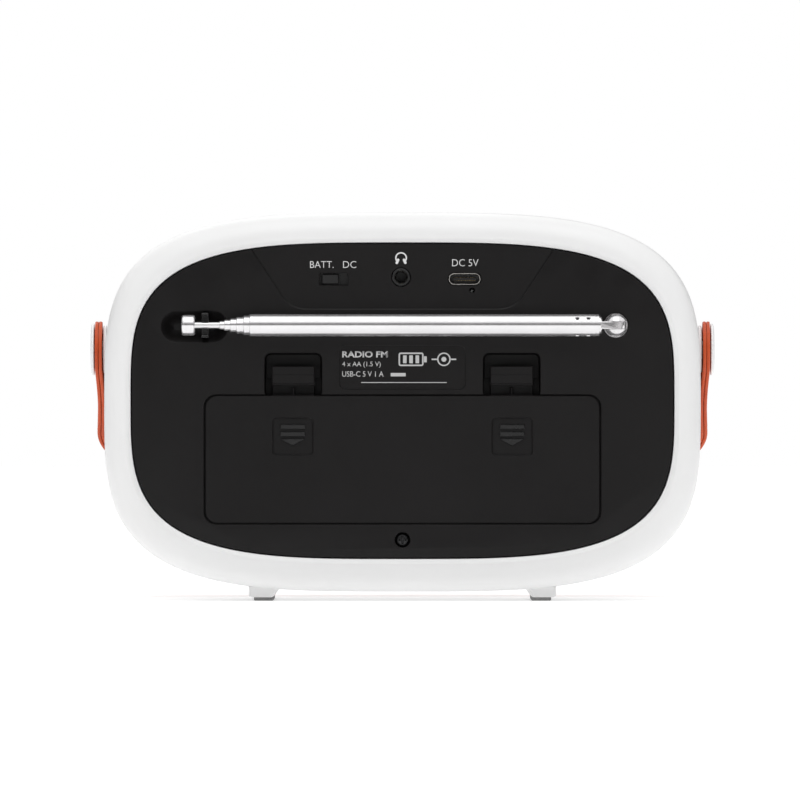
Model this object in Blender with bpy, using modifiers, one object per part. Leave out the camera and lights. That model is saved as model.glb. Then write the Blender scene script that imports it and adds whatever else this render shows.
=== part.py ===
"""Portable tabletop radio, as the separate pieces it comes apart into.

Frame: +Z up, feet at z = 0, front towards -Y, rear towards +Y, +X to the right of someone facing the
front. Every y below is measured from the middle of the housing's depth; the empty radio_frame moves
the whole radio so that the middle of its full depth, strap and antenna included, is at the origin.
"""

import math

import bmesh
import bpy
from mathutils import Matrix

# Driving dimensions, in metres.
GAP = 0.0003
BODY_Y = 0.01596

OUTLINE_POWER = 3.55
OUTLINE_POINTS = 72
HOUSING_HALF_WIDTH = 0.08375
HOUSING_HALF_HEIGHT = 0.0532
HOUSING_HALF_DEPTH = 0.028
HOUSING_Z = 0.0558
HOUSING_WALL = 0.0024
HOUSING_EDGE = 0.0072

PANEL_HALF_WIDTH = 0.0759
PANEL_HALF_HEIGHT = 0.04405
PANEL_Z = 0.0562
PANEL_FACE = 0.027
PANEL_BACK = 0.0234
PANEL_LIP = 0.0021
PANEL_LIP_TOP = 0.0249

DOOR_HALF_WIDTH = 0.0555
DOOR_LOW = 0.0219
DOOR_HIGH = 0.0576
DOOR_THICKNESS = 0.0020
DOOR_CORNER = 0.0034
DOOR_LEDGE = 0.0016
TUB_BACK = 0.0090
TUB_WALL = 0.0015

LATCH_X = 0.0306
LATCH_WIDTH = 0.0120
NOTCH_WIDTH = 0.0161
NOTCH_HIGH = 0.0696
NOTCH_FLOOR = 0.0205
LATCH_PIVOT = (0.0222, 0.0610)

CELL_RADIUS = 0.0070
CELL_LENGTH = 0.0497
CELL_Y = 0.0166
CELL_ROWS = (0.0324, 0.0471)

JACK_Z = 0.0908
SWITCH_X = 0.0193
SWITCH_Z = 0.0902
SLIDER_X = 0.02025
PHONES_X = 0.0004
USB_X = -0.0174
USB_Z = 0.0903
BLADE_HALF_WIDTH = 0.00335
BLADE_HALF_THICKNESS = 0.00035
USB_WIDTH = 0.00894
USB_HEIGHT = 0.00326
LED_X = -0.0195
LED_Z = 0.0871
SCREW_Z = 0.0172

ANTENNA_Y = 0.0315
ANTENNA_Z = 0.0773
ANTENNA_PIVOT_X = -0.0598
ANTENNA_FACETS = 20
FORK_RADIUS = 0.00315
TUBE_ENDS = (0.0428, 0.0445, 0.0465, 0.0482, 0.0499, 0.0512)
TUBE_RADII = (0.0031, 0.0027, 0.0023, 0.0019, 0.00155, 0.0012)
TUBE_WALLS = (0.00022, 0.00022, 0.00022, 0.0002, 0.0002, 0.00017)
TUBE_1_START = -0.0550
TUBE_2_START = -0.0485
TUBE_START_STEP = 0.0010
ROD_RADIUS = 0.0009
TIP_START = 0.0581
TIP_END = 0.0618
TIP_RADIUS = 0.0029
SCOOP_X = 0.05825
SCOOP_LENGTH = 0.0187
SCOOP_HEIGHT = 0.0087
SCOOP_Z = 0.07695
SCOOP_FLOOR = 0.0225
CLIP_X = 0.05525
CLIP_HALF_LENGTH = 0.00095
CLIP_BASE = 0.0012
CLIP_INNER = 0.00278
CLIP_ARM = 0.00065
CLIP_ABOVE_LINE = 0.0011

STUD_Y = -0.006
STUD_Z = 0.0707
STRAP_HALF_WIDTH = 0.0080
STRAP_THICKNESS = 0.0020
STRAP_MIDDLE_X = 0.08595
STRAP_STRAIGHT = 0.030
STRAP_REACH = 0.068
STRAP_ANGLE = math.radians(36)

FOOT_INNER = 0.0359
FOOT_OUTER = 0.0433
FOOT_HALF_LENGTH = 0.0190
PAD_INNER = 0.0362
PAD_OUTER = 0.0418

SPEAKER_X = -0.0340
SPEAKER_RADIUS = 0.0285
GRILLE_HALF = 0.0330
GRILLE_CORNER = 0.0140
GRILLE_THICKNESS = 0.0016
GRILLE_SLOTS = 11
GRILLE_PITCH = 0.0054
GRILLE_SLOT_HEIGHT = 0.0026
DISPLAY_X = 0.0350
DISPLAY_Z = 0.0800
DISPLAY_WIDTH = 0.0540
DISPLAY_HEIGHT = 0.0200
BUTTON_XS = (0.0140, 0.0280, 0.0420, 0.0560)
BUTTON_Z = 0.0620
BUTTON_WIDTH = 0.0104
BUTTON_HEIGHT = 0.0050
TUNING_X = 0.0470
TUNING_Z = 0.0380
TUNING_RADIUS = 0.0155
VOLUME_X = 0.0150
VOLUME_Z = 0.0360
VOLUME_RADIUS = 0.0100
KNOB_FRONT = 0.0330
SHAFT_RADIUS = 0.0030

# Colour, roughness and metallic value of each finish.
FINISHES = {
    "white_plastic": ((0.88, 0.88, 0.87), 0.28, 0.0),
    "black_plastic": ((0.014, 0.014, 0.015), 0.55, 0.0),
    "leather": ((0.67, 0.11, 0.03), 0.5, 0.0),
    "rubber": ((0.2, 0.2, 0.2), 0.8, 0.0),
    "chrome": ((0.8, 0.8, 0.8), 0.12, 1.0),
    "steel": ((0.55, 0.55, 0.55), 0.3, 1.0),
    "clear": ((0.05, 0.06, 0.06), 0.05, 0.0),
    "board": ((0.02, 0.16, 0.06), 0.5, 0.0),
    "paper": ((0.05, 0.05, 0.05), 0.9, 0.0),
    "battery": ((0.07, 0.20, 0.35), 0.35, 0.3),
}

# With this many cuts on one piece the exact solver leaves a few open edges.
MANY_CUTS = ("rear_panel", "front_panel", "speaker_grille", "battery_door")

AXIS_TURNS = {
    "X": Matrix(((0, 0, 1), (1, 0, 0), (0, 1, 0))).to_4x4(),
    "Y": Matrix(((1, 0, 0), (0, 0, -1), (0, 1, 0))).to_4x4(),
    "Z": Matrix.Identity(4),
}
TURNED_ROTATIONS = {
    "X": (0, math.pi / 2, 0),
    "-X": (0, -math.pi / 2, 0),
    "Y": (-math.pi / 2, 0, 0),
    "Z": (0, 0, 0),
}


# ---------------------------------------------------------------- scene and materials


def clear_scene():
    for obj in list(bpy.data.objects):
        bpy.data.objects.remove(obj, do_unlink=True)


def new_collection(name):
    collection = bpy.data.collections.new(name)
    bpy.context.scene.collection.children.link(collection)
    return collection


def new_frame():
    frame = bpy.data.objects.new("radio_frame", None)
    frame.location = (0, BODY_Y, 0)
    PARTS.objects.link(frame)
    return frame


def finish(name):
    material = bpy.data.materials.get(name)
    if material:
        return material
    colour, roughness, metallic = FINISHES[name]
    material = bpy.data.materials.new(name)
    material.use_nodes = True
    shader = material.node_tree.nodes["Principled BSDF"]
    shader.inputs["Base Color"].default_value = (*colour, 1)
    shader.inputs["Roughness"].default_value = roughness
    shader.inputs["Metallic"].default_value = metallic
    return material


# ---------------------------------------------------------------- outlines, as lists of (u, v)


def superellipse(half_width, half_height, centre_v):
    points = []
    for step in range(OUTLINE_POINTS):
        angle = 2 * math.pi * step / OUTLINE_POINTS
        across = abs(math.cos(angle)) / half_width
        up = abs(math.sin(angle)) / half_height
        reach = (across**OUTLINE_POWER + up**OUTLINE_POWER) ** (-1 / OUTLINE_POWER)
        points.append((reach * math.cos(angle), centre_v + reach * math.sin(angle)))
    return points


def rounded_rectangle(low, high, radius, steps=4):
    """Corners low = (u, v) and high = (u, v), going round anticlockwise."""
    centres = (
        (high[0] - radius, high[1] - radius, 0),
        (low[0] + radius, high[1] - radius, 1),
        (low[0] + radius, low[1] + radius, 2),
        (high[0] - radius, low[1] + radius, 3),
    )
    points = []
    for u, v, quarter in centres:
        for step in range(steps + 1):
            angle = math.pi / 2 * (quarter + step / steps)
            points.append((u + radius * math.cos(angle), v + radius * math.sin(angle)))
    return points


def centred_rectangle(centre, width, height, radius, steps=4):
    low = (centre[0] - width / 2, centre[1] - height / 2)
    high = (centre[0] + width / 2, centre[1] + height / 2)
    return rounded_rectangle(low, high, radius, steps)


# ---------------------------------------------------------------- solids


def place(name, mesh, origin):
    obj = bpy.data.objects.new(name, mesh)
    obj.parent = FRAME
    obj.location = origin
    PARTS.objects.link(obj)
    return obj


def extrusion(name, outline, low, high, axis="Y", origin=(0, 0, 0)):
    """A flat outline given thickness from low to high along an axis.

    The outline is (x, z) along Y, (y, z) along X and (x, y) along Z. The object's origin is origin.
    """
    curve = bpy.data.curves.new(name, "CURVE")
    curve.dimensions = "2D"
    curve.fill_mode = "BOTH"
    curve.extrude = (high - low) / 2
    spline = curve.splines.new("POLY")
    spline.points.add(len(outline) - 1)
    for point, (u, v) in zip(spline.points, outline):
        point.co = (u, v, 0, 1)
    spline.use_cyclic_u = True
    holder = bpy.data.objects.new(name + "_curve", curve)
    PARTS.objects.link(holder)
    graph = bpy.context.evaluated_depsgraph_get()
    mesh = bpy.data.meshes.new_from_object(holder.evaluated_get(graph))
    bpy.data.objects.remove(holder)
    middle = (low + high) / 2
    turn = AXIS_TURNS[axis]
    shift = turn @ Matrix.Translation((0, 0, -middle if axis == "Y" else middle))
    mesh.transform(Matrix.Translation([-c for c in origin]) @ shift)
    work = bmesh.new()
    work.from_mesh(mesh)
    bmesh.ops.remove_doubles(work, verts=work.verts, dist=1e-6)
    bmesh.ops.recalc_face_normals(work, faces=work.faces)
    work.to_mesh(mesh)
    work.free()
    return place(name, mesh, origin)


def block(name, low, high, origin=(0, 0, 0)):
    size = [b - a for a, b in zip(low, high)]
    centre = [(a + b) / 2 - o for a, b, o in zip(low, high, origin)]
    mesh = bpy.data.meshes.new(name)
    work = bmesh.new()
    bmesh.ops.create_cube(work, size=1, matrix=Matrix.Translation(centre) @ Matrix.Diagonal((*size, 1)))
    work.to_mesh(mesh)
    work.free()
    return place(name, mesh, origin)


def cylinder(name, radius, low, high, centre, axis="Y", segments=32):
    """A cylinder from low to high along an axis; centre is its middle line's place across the axis."""
    mesh = bpy.data.meshes.new(name)
    work = bmesh.new()
    bmesh.ops.create_cone(
        work, cap_ends=True, segments=segments, radius1=radius, radius2=radius, depth=high - low
    )
    work.to_mesh(mesh)
    work.free()
    middle = (low + high) / 2
    origins = {
        "X": (middle, centre[0], centre[1]),
        "Y": (centre[0], middle, centre[1]),
        "Z": (centre[0], centre[1], middle),
    }
    obj = place(name, mesh, origins[axis])
    obj.rotation_euler = TURNED_ROTATIONS[axis]
    return obj


def turned(name, profile, origin, axis="Z", steps=32, ring=False):
    """A profile of (radius, height) turned about an axis through origin.

    The profile runs down its outer side. ring closes it into a loop round a bore.
    """
    mesh = bpy.data.meshes.new(name)
    work = bmesh.new()
    verts = [work.verts.new((radius, 0, height)) for radius, height in profile]
    for first, second in zip(verts, verts[1:]):
        work.edges.new((first, second))
    if ring:
        work.edges.new((verts[-1], verts[0]))
    work.to_mesh(mesh)
    work.free()
    obj = place(name, mesh, origin)
    obj.rotation_euler = TURNED_ROTATIONS[axis]
    screw = obj.modifiers.new("turn", "SCREW")
    screw.steps = steps
    screw.render_steps = steps
    screw.use_merge_vertices = True
    screw.merge_threshold = 1e-5
    return obj


def bevel(obj, width, segments=3, angle=35):
    modifier = obj.modifiers.new("bevel", "BEVEL")
    modifier.width = width
    modifier.segments = segments
    modifier.limit_method = "ANGLE"
    modifier.angle_limit = math.radians(angle)
    modifier.use_clamp_overlap = False
    return obj


def boolean(obj, tool, operation):
    """Joins or cuts obj with tool, which becomes a hidden helper."""
    for collection in list(tool.users_collection):
        collection.objects.unlink(tool)
    CUTTERS.objects.link(tool)
    tool.hide_render = True
    tool.display_type = "WIRE"
    modifier = obj.modifiers.new(tool.name, "BOOLEAN")
    modifier.operation = operation
    modifier.solver = "MANIFOLD" if obj.name in MANY_CUTS else "EXACT"
    modifier.object = tool
    return obj


def cut(obj, *tools):
    for tool in tools:
        boolean(obj, tool, "DIFFERENCE")
    return obj


def join(obj, *tools):
    for tool in tools:
        boolean(obj, tool, "UNION")
    return obj


def dress(obj, material_name):
    obj.data.materials.clear()
    obj.data.materials.append(finish(material_name))
    return obj


# ---------------------------------------------------------------- housing and panels


def panel_outline(extra):
    return superellipse(PANEL_HALF_WIDTH + extra, PANEL_HALF_HEIGHT + extra, PANEL_Z)


def make_housing():
    """The ring that forms the top, sides and bottom, with a rounded edge and an inner lip at both ends."""
    outer = superellipse(HOUSING_HALF_WIDTH, HOUSING_HALF_HEIGHT, HOUSING_Z)
    housing = extrusion("housing", outer, -HOUSING_HALF_DEPTH, HOUSING_HALF_DEPTH)
    bevel(housing, HOUSING_EDGE, segments=5)
    inner = superellipse(
        HOUSING_HALF_WIDTH - HOUSING_WALL, HOUSING_HALF_HEIGHT - HOUSING_WALL, HOUSING_Z
    )
    inner_depth = HOUSING_HALF_DEPTH - HOUSING_WALL
    hollow = extrusion("cut_hollow", inner, -inner_depth, inner_depth)
    bevel(hollow, HOUSING_EDGE - HOUSING_WALL, segments=4)
    mouth = extrusion("cut_mouths", panel_outline(GAP), -0.04, 0.04)
    stud_holes = cylinder("cut_stud_holes", 0.0043, -0.1, 0.1, (STUD_Y, STUD_Z), "X", 24)
    cut(housing, stud_holes, hollow, mouth)
    return dress(housing, "white_plastic")


def panel_slab(name, side):
    """A panel with a thinner rim that sits behind the housing's lip. side is 1 at the rear, -1 in front."""
    near, far = sorted((side * (PANEL_BACK + 0.0006), side * PANEL_FACE))
    slab = extrusion(name, panel_outline(0), near, far)
    near, far = sorted((side * PANEL_BACK, side * PANEL_LIP_TOP))
    return join(slab, extrusion("join_lip_" + name, panel_outline(PANEL_LIP), near, far))


def notch_outline(side):
    low = (side * LATCH_X - NOTCH_WIDTH / 2, DOOR_HIGH - 0.001)
    high = (side * LATCH_X + NOTCH_WIDTH / 2, NOTCH_HIGH)
    return rounded_rectangle(low, high, 0.0009)


def jack_recess_outline():
    """The slightly sunk field round the sockets: narrow below, opening out to the panel's top edge."""
    half = [(0.0, 0.0822), (0.0225, 0.0822), (0.0255, 0.0832), (0.0275, 0.0862), (0.0400, 0.0960)]
    half.append((0.0440, 0.0985))
    left = [(-x, z) for x, z in reversed(half[1:])]
    return half + [(0.0440, 0.110), (-0.0440, 0.110)] + left


def make_rear_panel():
    panel = panel_slab("rear_panel", 1)
    tub_low = (-DOOR_HALF_WIDTH - GAP, TUB_BACK - TUB_WALL, DOOR_LOW + DOOR_LEDGE - TUB_WALL)
    tub_high = (DOOR_HALF_WIDTH + GAP, PANEL_BACK + 0.001, DOOR_HIGH - DOOR_LEDGE + TUB_WALL)
    join(panel, block("join_tub", tub_low, tub_high))
    for side in (-1, 1):
        low = (side * LATCH_X - NOTCH_WIDTH / 2 - TUB_WALL, NOTCH_FLOOR - TUB_WALL, DOOR_HIGH - 0.002)
        high = (side * LATCH_X + NOTCH_WIDTH / 2 + TUB_WALL, PANEL_BACK + 0.001, NOTCH_HIGH + TUB_WALL)
        join(panel, block(f"join_notch_{side}", low, high))
    scoop_half = (SCOOP_LENGTH / 2 + TUB_WALL, SCOOP_HEIGHT / 2 + TUB_WALL)
    low = (SCOOP_X - scoop_half[0], SCOOP_FLOOR - TUB_WALL, SCOOP_Z - scoop_half[1])
    high = (SCOOP_X + scoop_half[0], PANEL_BACK + 0.001, SCOOP_Z + scoop_half[1])
    join(panel, block("join_scoop", low, high))

    door_seat = PANEL_FACE - DOOR_THICKNESS - GAP
    seat = rounded_rectangle(
        (-DOOR_HALF_WIDTH - GAP, DOOR_LOW - GAP), (DOOR_HALF_WIDTH + GAP, DOOR_HIGH + GAP), DOOR_CORNER
    )
    cut(panel, extrusion("cut_door_seat", seat, door_seat, 0.03))
    cells = rounded_rectangle(
        (-DOOR_HALF_WIDTH + TUB_WALL, DOOR_LOW + DOOR_LEDGE),
        (DOOR_HALF_WIDTH - TUB_WALL, DOOR_HIGH - DOOR_LEDGE),
        0.002,
    )
    cut(panel, extrusion("cut_cells", cells, TUB_BACK, 0.03))
    for side in (-1, 1):
        cut(panel, extrusion(f"cut_notch_{side}", notch_outline(side), NOTCH_FLOOR, 0.03))
        screen = centred_rectangle((side * LATCH_X, DOOR_HIGH), LATCH_WIDTH + 0.002, 0.006, 0.0005)
        cut(panel, extrusion(f"cut_latch_way_{side}", screen, NOTCH_FLOOR, 0.03))

    cut(panel, extrusion("cut_jack_field", jack_recess_outline(), PANEL_FACE - 0.0004, 0.03))
    label = rounded_rectangle((-0.01755, 0.0594), (0.01755, 0.0716), 0.0017)
    cut(panel, extrusion("cut_label", label, PANEL_FACE - 0.0005, 0.03))
    scoop = centred_rectangle((SCOOP_X, SCOOP_Z), SCOOP_LENGTH, SCOOP_HEIGHT, 0.00434, 6)
    cut(panel, extrusion("cut_scoop", scoop, SCOOP_FLOOR, 0.03))
    fork_place = (ANTENNA_PIVOT_X, ANTENNA_Z)
    cut(panel, cylinder("cut_fork", FORK_RADIUS + GAP, 0.01, 0.03, fork_place, segments=24))
    switch = centred_rectangle((SWITCH_X, SWITCH_Z), 0.0081, 0.0035, 0.0004, 2)
    cut(panel, extrusion("cut_switch", switch, 0.01, 0.03))
    cut(panel, cylinder("cut_phones", 0.00285, 0.01, 0.03, (PHONES_X, JACK_Z), segments=24))
    inlet = centred_rectangle(
        (USB_X, USB_Z), USB_WIDTH + 2 * GAP, USB_HEIGHT + 2 * GAP, USB_HEIGHT / 2 + GAP - 1e-5
    )
    cut(panel, extrusion("cut_inlet", inlet, 0.01, 0.03))
    cut(panel, cylinder("cut_led", 0.0008, 0.01, 0.03, (LED_X, LED_Z), segments=12))
    cut(panel, cylinder("cut_screw_head", 0.0022, 0.0252, 0.03, (0, SCREW_Z), segments=20))
    cut(panel, cylinder("cut_screw_shank", 0.0014, 0.01, 0.03, (0, SCREW_Z), segments=12))
    return dress(panel, "black_plastic")


def make_rear_panel_screw():
    """Pan head with a cross recess; the shank runs into the front panel's post."""
    profile = [(0, 0.0266), (0.0012, 0.0266), (0.0019, 0.0262), (0.0019, 0.0255)]
    profile += [(0.0010, 0.0255), (0.0010, 0.0145), (0.0, 0.0138)]
    screw = turned("rear_panel_screw", profile, (0, 0, SCREW_Z), "Y", 20)
    for name, width, height in (("cut_cross_1", 0.0020, 0.0005), ("cut_cross_2", 0.0005, 0.0020)):
        low = (-width / 2, 0.0260, SCREW_Z - height / 2)
        high = (width / 2, 0.03, SCREW_Z + height / 2)
        cut(screw, block(name, low, high))
    return dress(screw, "steel")


def make_front_panel():
    panel = panel_slab("front_panel", -1)
    join(panel, cylinder("join_post", 0.0028, -0.024, 0.0230, (0, SCREW_Z), segments=16))
    cut(panel, cylinder("cut_post", 0.0013, 0.0130, 0.03, (0, SCREW_Z), segments=12))
    face = -PANEL_FACE
    grille = centred_rectangle(
        (SPEAKER_X, PANEL_Z), 2 * (GRILLE_HALF + GAP), 2 * (GRILLE_HALF + GAP), GRILLE_CORNER, 6
    )
    cut(panel, extrusion("cut_grille", grille, -0.03, face + GRILLE_THICKNESS + GAP))
    cut(panel, cylinder("cut_speaker", 0.0265, -0.03, -0.02, (SPEAKER_X, PANEL_Z), segments=40))
    window = centred_rectangle(
        (DISPLAY_X, DISPLAY_Z), DISPLAY_WIDTH + 2 * GAP, DISPLAY_HEIGHT + 2 * GAP, 0.002
    )
    cut(panel, extrusion("cut_window", window, -0.03, face + 0.0015))
    view = centred_rectangle((DISPLAY_X, DISPLAY_Z), DISPLAY_WIDTH - 0.004, DISPLAY_HEIGHT - 0.004, 0.001)
    cut(panel, extrusion("cut_view", view, -0.03, -0.02))
    for index, x in enumerate(BUTTON_XS, 1):
        hole = centred_rectangle((x, BUTTON_Z), BUTTON_WIDTH + 0.0006, BUTTON_HEIGHT + 0.0006, 0.0018)
        cut(panel, extrusion(f"cut_button_{index}", hole, -0.03, -0.02))
    cut(panel, cylinder("cut_tuning", SHAFT_RADIUS + GAP, -0.03, -0.02, (TUNING_X, TUNING_Z), segments=20))
    cut(panel, cylinder("cut_volume", SHAFT_RADIUS + GAP, -0.03, -0.02, (VOLUME_X, VOLUME_Z), segments=20))
    return dress(panel, "black_plastic")


# ---------------------------------------------------------------- speaker, display and controls


def make_speaker_grille():
    face = -PANEL_FACE
    outline = centred_rectangle((SPEAKER_X, PANEL_Z), 2 * GRILLE_HALF, 2 * GRILLE_HALF, GRILLE_CORNER, 6)
    grille = extrusion("speaker_grille", outline, face, face + GRILLE_THICKNESS)
    for row in range(GRILLE_SLOTS):
        offset = (row - (GRILLE_SLOTS - 1) / 2) * GRILLE_PITCH
        half_height = GRILLE_SLOT_HEIGHT / 2
        corner = max(0.0, abs(offset) + half_height - (GRILLE_HALF - GRILLE_CORNER))
        side_loss = GRILLE_CORNER - math.sqrt(max(0.0, GRILLE_CORNER**2 - corner**2))
        half_width = GRILLE_HALF - 0.003 - side_loss
        slot = centred_rectangle(
            (SPEAKER_X, PANEL_Z + offset), 2 * half_width, GRILLE_SLOT_HEIGHT, half_height - 1e-5, 2
        )
        cut(grille, extrusion(f"cut_slot_{row}", slot, -0.03, -0.02))
    return dress(grille, "black_plastic")


def make_speaker_basket():
    """Pressed frame: a flat flange in front, tapering back to the magnet."""
    front = -PANEL_BACK + GAP
    profile = [
        (SPEAKER_RADIUS, front),
        (SPEAKER_RADIUS, front + 0.0012),
        (0.0262, front + 0.0012),
        (0.0160, -0.0060),
        (0.0045, -0.0060),
        (0.0045, -0.0072),
        (0.0150, -0.0072),
        (0.0250, front),
    ]
    basket = turned("speaker_basket", profile[::-1], (SPEAKER_X, 0, PANEL_Z), "Y", 40, ring=True)
    return dress(basket, "steel")


def make_speaker_cone():
    profile = [
        (0.0, -0.0135),
        (0.0090, -0.0120),
        (0.0236, -0.0217),
        (0.0242, -0.0222),
        (0.0232, -0.0223),
        (0.0088, -0.0126),
        (0.0, -0.0141),
    ]
    cone = turned("speaker_cone", profile, (SPEAKER_X, 0, PANEL_Z), "Y", 36)
    return dress(cone, "paper")


def make_speaker_magnet():
    magnet = cylinder("speaker_magnet", 0.0140, -0.0057, 0.0015, (SPEAKER_X, PANEL_Z), segments=36)
    return dress(magnet, "steel")


def make_display_window():
    outline = centred_rectangle((DISPLAY_X, DISPLAY_Z), DISPLAY_WIDTH, DISPLAY_HEIGHT, 0.0018)
    window = extrusion("display_window", outline, -PANEL_FACE, -PANEL_FACE + 0.0012)
    return dress(window, "clear")


def make_display_module():
    low = (DISPLAY_X - 0.0285, -0.0231, DISPLAY_Z - 0.0105)
    high = (DISPLAY_X + 0.0285, -0.0168, DISPLAY_Z + 0.0105)
    return dress(block("display_module", low, high), "paper")


def make_main_board():
    board = block("main_board", (0.0035, -0.0160, 0.0230), (0.0670, -0.0144, 0.0895))
    return dress(board, "board")


def make_jack_board():
    board = block("jack_board", (-0.0290, -0.0050, 0.0842), (0.0290, 0.0228, 0.0858))
    return dress(board, "board")


def make_knob(name, x, z, radius, grips):
    """A dished knob with finger grooves round its rim and a shaft behind."""
    profile = [
        (0.0, -0.0180),
        (SHAFT_RADIUS, -0.0180),
        (SHAFT_RADIUS, -PANEL_FACE - 0.0006),
        (radius, -PANEL_FACE - 0.0006),
        (radius, -KNOB_FRONT + 0.0010),
        (radius - 0.0010, -KNOB_FRONT),
        (radius - 0.0030, -KNOB_FRONT),
        (radius - 0.0045, -KNOB_FRONT + 0.0008),
        (0.0, -KNOB_FRONT + 0.0008),
    ]
    knob = turned(name, profile, (x, 0, z), "Y", 2 * grips)
    return dress(knob, "black_plastic")


def make_control(name, x, z, half):
    """Encoder or volume control behind a knob, bored for its shaft."""
    control = block(name, (x - half, -0.0231, z - half), (x + half, -0.0163, z + half))
    cut(control, cylinder("cut_" + name, SHAFT_RADIUS + GAP, -0.03, -0.0170, (x, z), segments=20))
    return dress(control, "steel")


def make_button(name, x):
    outline = centred_rectangle((x, BUTTON_Z), BUTTON_WIDTH, BUTTON_HEIGHT, 0.0015, 3)
    origin = (x, -PANEL_FACE, BUTTON_Z)
    button = extrusion(name, outline, -PANEL_FACE - 0.0014, -0.0174, origin=origin)
    bevel(button, 0.0004, 2)
    return dress(button, "white_plastic")


# ---------------------------------------------------------------- sockets and the switch


def make_usb_c_shell():
    corner = USB_HEIGHT / 2 - 1e-5
    outline = centred_rectangle((USB_X, USB_Z), USB_WIDTH, USB_HEIGHT, corner, 6)
    shell = extrusion("usb_c_shell", outline, 0.0195, 0.0268)
    wall = 0.0003
    inside = centred_rectangle(
        (USB_X, USB_Z), USB_WIDTH - 2 * wall, USB_HEIGHT - 2 * wall, corner - wall, 6
    )
    cut(shell, extrusion("cut_shell", inside, 0.0180, 0.03))
    return dress(shell, "steel")


def make_usb_c_tongue():
    """The contact tongue and the block that closes the back of the shell."""
    base = centred_rectangle((USB_X, USB_Z), 0.0076, 0.0020, 0.0009)
    tongue = extrusion("usb_c_tongue", base, 0.0198, 0.0212)
    blade_low = (USB_X - BLADE_HALF_WIDTH, 0.0205, USB_Z - BLADE_HALF_THICKNESS)
    blade_high = (USB_X + BLADE_HALF_WIDTH, 0.0262, USB_Z + BLADE_HALF_THICKNESS)
    blade = block("join_blade", blade_low, blade_high)
    join(tongue, blade)
    return dress(tongue, "black_plastic")


def make_headphone_socket():
    """Barrel with a stepped nose, blind at the back."""
    profile = [
        (0.0, 0.0148),
        (0.00185, 0.0148),
        (0.00185, 0.0270),
        (0.00235, 0.0270),
        (0.00255, 0.0268),
        (0.00255, 0.0138),
        (0.0, 0.0138),
    ]
    socket = turned("headphone_socket", profile, (PHONES_X, 0, JACK_Z), "Y", 24)
    return dress(socket, "black_plastic")


def make_power_switch_housing():
    low = (SWITCH_X - 0.0062, 0.0140, SWITCH_Z - 0.0025)
    high = (SWITCH_X + 0.0062, 0.0212, SWITCH_Z + 0.0025)
    return dress(block("power_switch_housing", low, high), "steel")


def make_power_slider():
    """The slide's knob and, behind the panel, the plate that carries it."""
    origin = (SLIDER_X, PANEL_FACE, SWITCH_Z)
    low = (SLIDER_X - 0.0052, 0.0216, SWITCH_Z - 0.0024)
    high = (SLIDER_X + 0.0052, 0.0229, SWITCH_Z + 0.0024)
    slider = block("power_slider", low, high, origin)
    knob = centred_rectangle((SLIDER_X, SWITCH_Z), 0.0049, 0.0028, 0.0003, 2)
    join(slider, extrusion("join_slider_knob", knob, 0.0222, 0.0268))
    for step in (-1, 0, 1):
        x = SLIDER_X + step * 0.0014
        low = (x - 0.0003, 0.0264, SWITCH_Z - 0.003)
        high = (x + 0.0003, 0.03, SWITCH_Z + 0.003)
        cut(slider, block(f"cut_rib_{step}", low, high))
    return dress(slider, "black_plastic")


def make_status_led():
    led = cylinder("status_led", 0.0006, 0.0220, 0.0262, (LED_X, LED_Z), segments=12)
    return dress(led, "clear")


# ---------------------------------------------------------------- batteries


def make_battery_door():
    """Hinged along its lower outer edge. Two tongues at the top carry the latches."""
    origin = (0, PANEL_FACE, DOOR_LOW)
    half_width = DOOR_HALF_WIDTH - GAP
    outline = rounded_rectangle((-half_width, DOOR_LOW), (half_width, DOOR_HIGH), DOOR_CORNER)
    door = extrusion("battery_door", outline, PANEL_FACE - DOOR_THICKNESS, PANEL_FACE, origin=origin)
    for side in (-1, 1):
        x = side * LATCH_X
        half = LATCH_WIDTH / 2
        leg = block(
            f"join_leg_{side}",
            (x - half, NOTCH_FLOOR + 0.0004, DOOR_HIGH - 0.0012),
            (x + half, PANEL_FACE - 0.0010, DOOR_HIGH + 0.0004),
        )
        foot = block(
            f"join_foot_{side}",
            (x - half, NOTCH_FLOOR + 0.0004, DOOR_HIGH - 0.0006),
            (x + half, NOTCH_FLOOR + 0.0014, LATCH_PIVOT[1] + 0.0008),
        )
        join(door, leg, foot)
    for side in (-1, 1):
        square = centred_rectangle((side * 0.03075, 0.04615), 0.01105, 0.0103, 0.001)
        cut(door, extrusion(f"cut_square_{side}", square, PANEL_FACE - 0.0007, 0.03))
    return dress(door, "black_plastic")


def make_latch(name, side):
    """The springy outer leg of a door latch, with the finger tab at its end."""
    y, z = LATCH_PIVOT
    half = 0.0006
    tab_low = PANEL_FACE - 0.0016
    outline = [
        (y, z - half),
        (y, z + half),
        (tab_low, z + half + 0.0004),
        (tab_low, z + 0.0049),
        (tab_low + 0.0012, z + 0.0049),
        (tab_low + 0.0012, z + 0.0013),
        (tab_low + 0.0004, z + 0.0002),
        (tab_low, z - half),
    ]
    low = side * LATCH_X - LATCH_WIDTH / 2
    latch = extrusion(name, outline, low, low + LATCH_WIDTH, "X", (side * LATCH_X, y, z))
    return dress(latch, "black_plastic")


def make_battery_cell(name, direction, row_z):
    """An AA cell; its positive button points along +X or -X as direction says."""
    inner = 0.0010
    start = inner if direction > 0 else -inner
    profile = [
        (0.0, CELL_LENGTH),
        (0.0026, CELL_LENGTH),
        (0.0026, CELL_LENGTH - 0.0012),
        (CELL_RADIUS - 0.0008, CELL_LENGTH - 0.0012),
        (CELL_RADIUS, CELL_LENGTH - 0.0020),
        (CELL_RADIUS, 0.0006),
        (CELL_RADIUS - 0.0008, 0.0),
        (0.0, 0.0),
    ]
    axis = "X" if direction > 0 else "-X"
    cell = turned(name, profile, (start, CELL_Y, row_z), axis, 24)
    return dress(cell, "battery")


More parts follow.
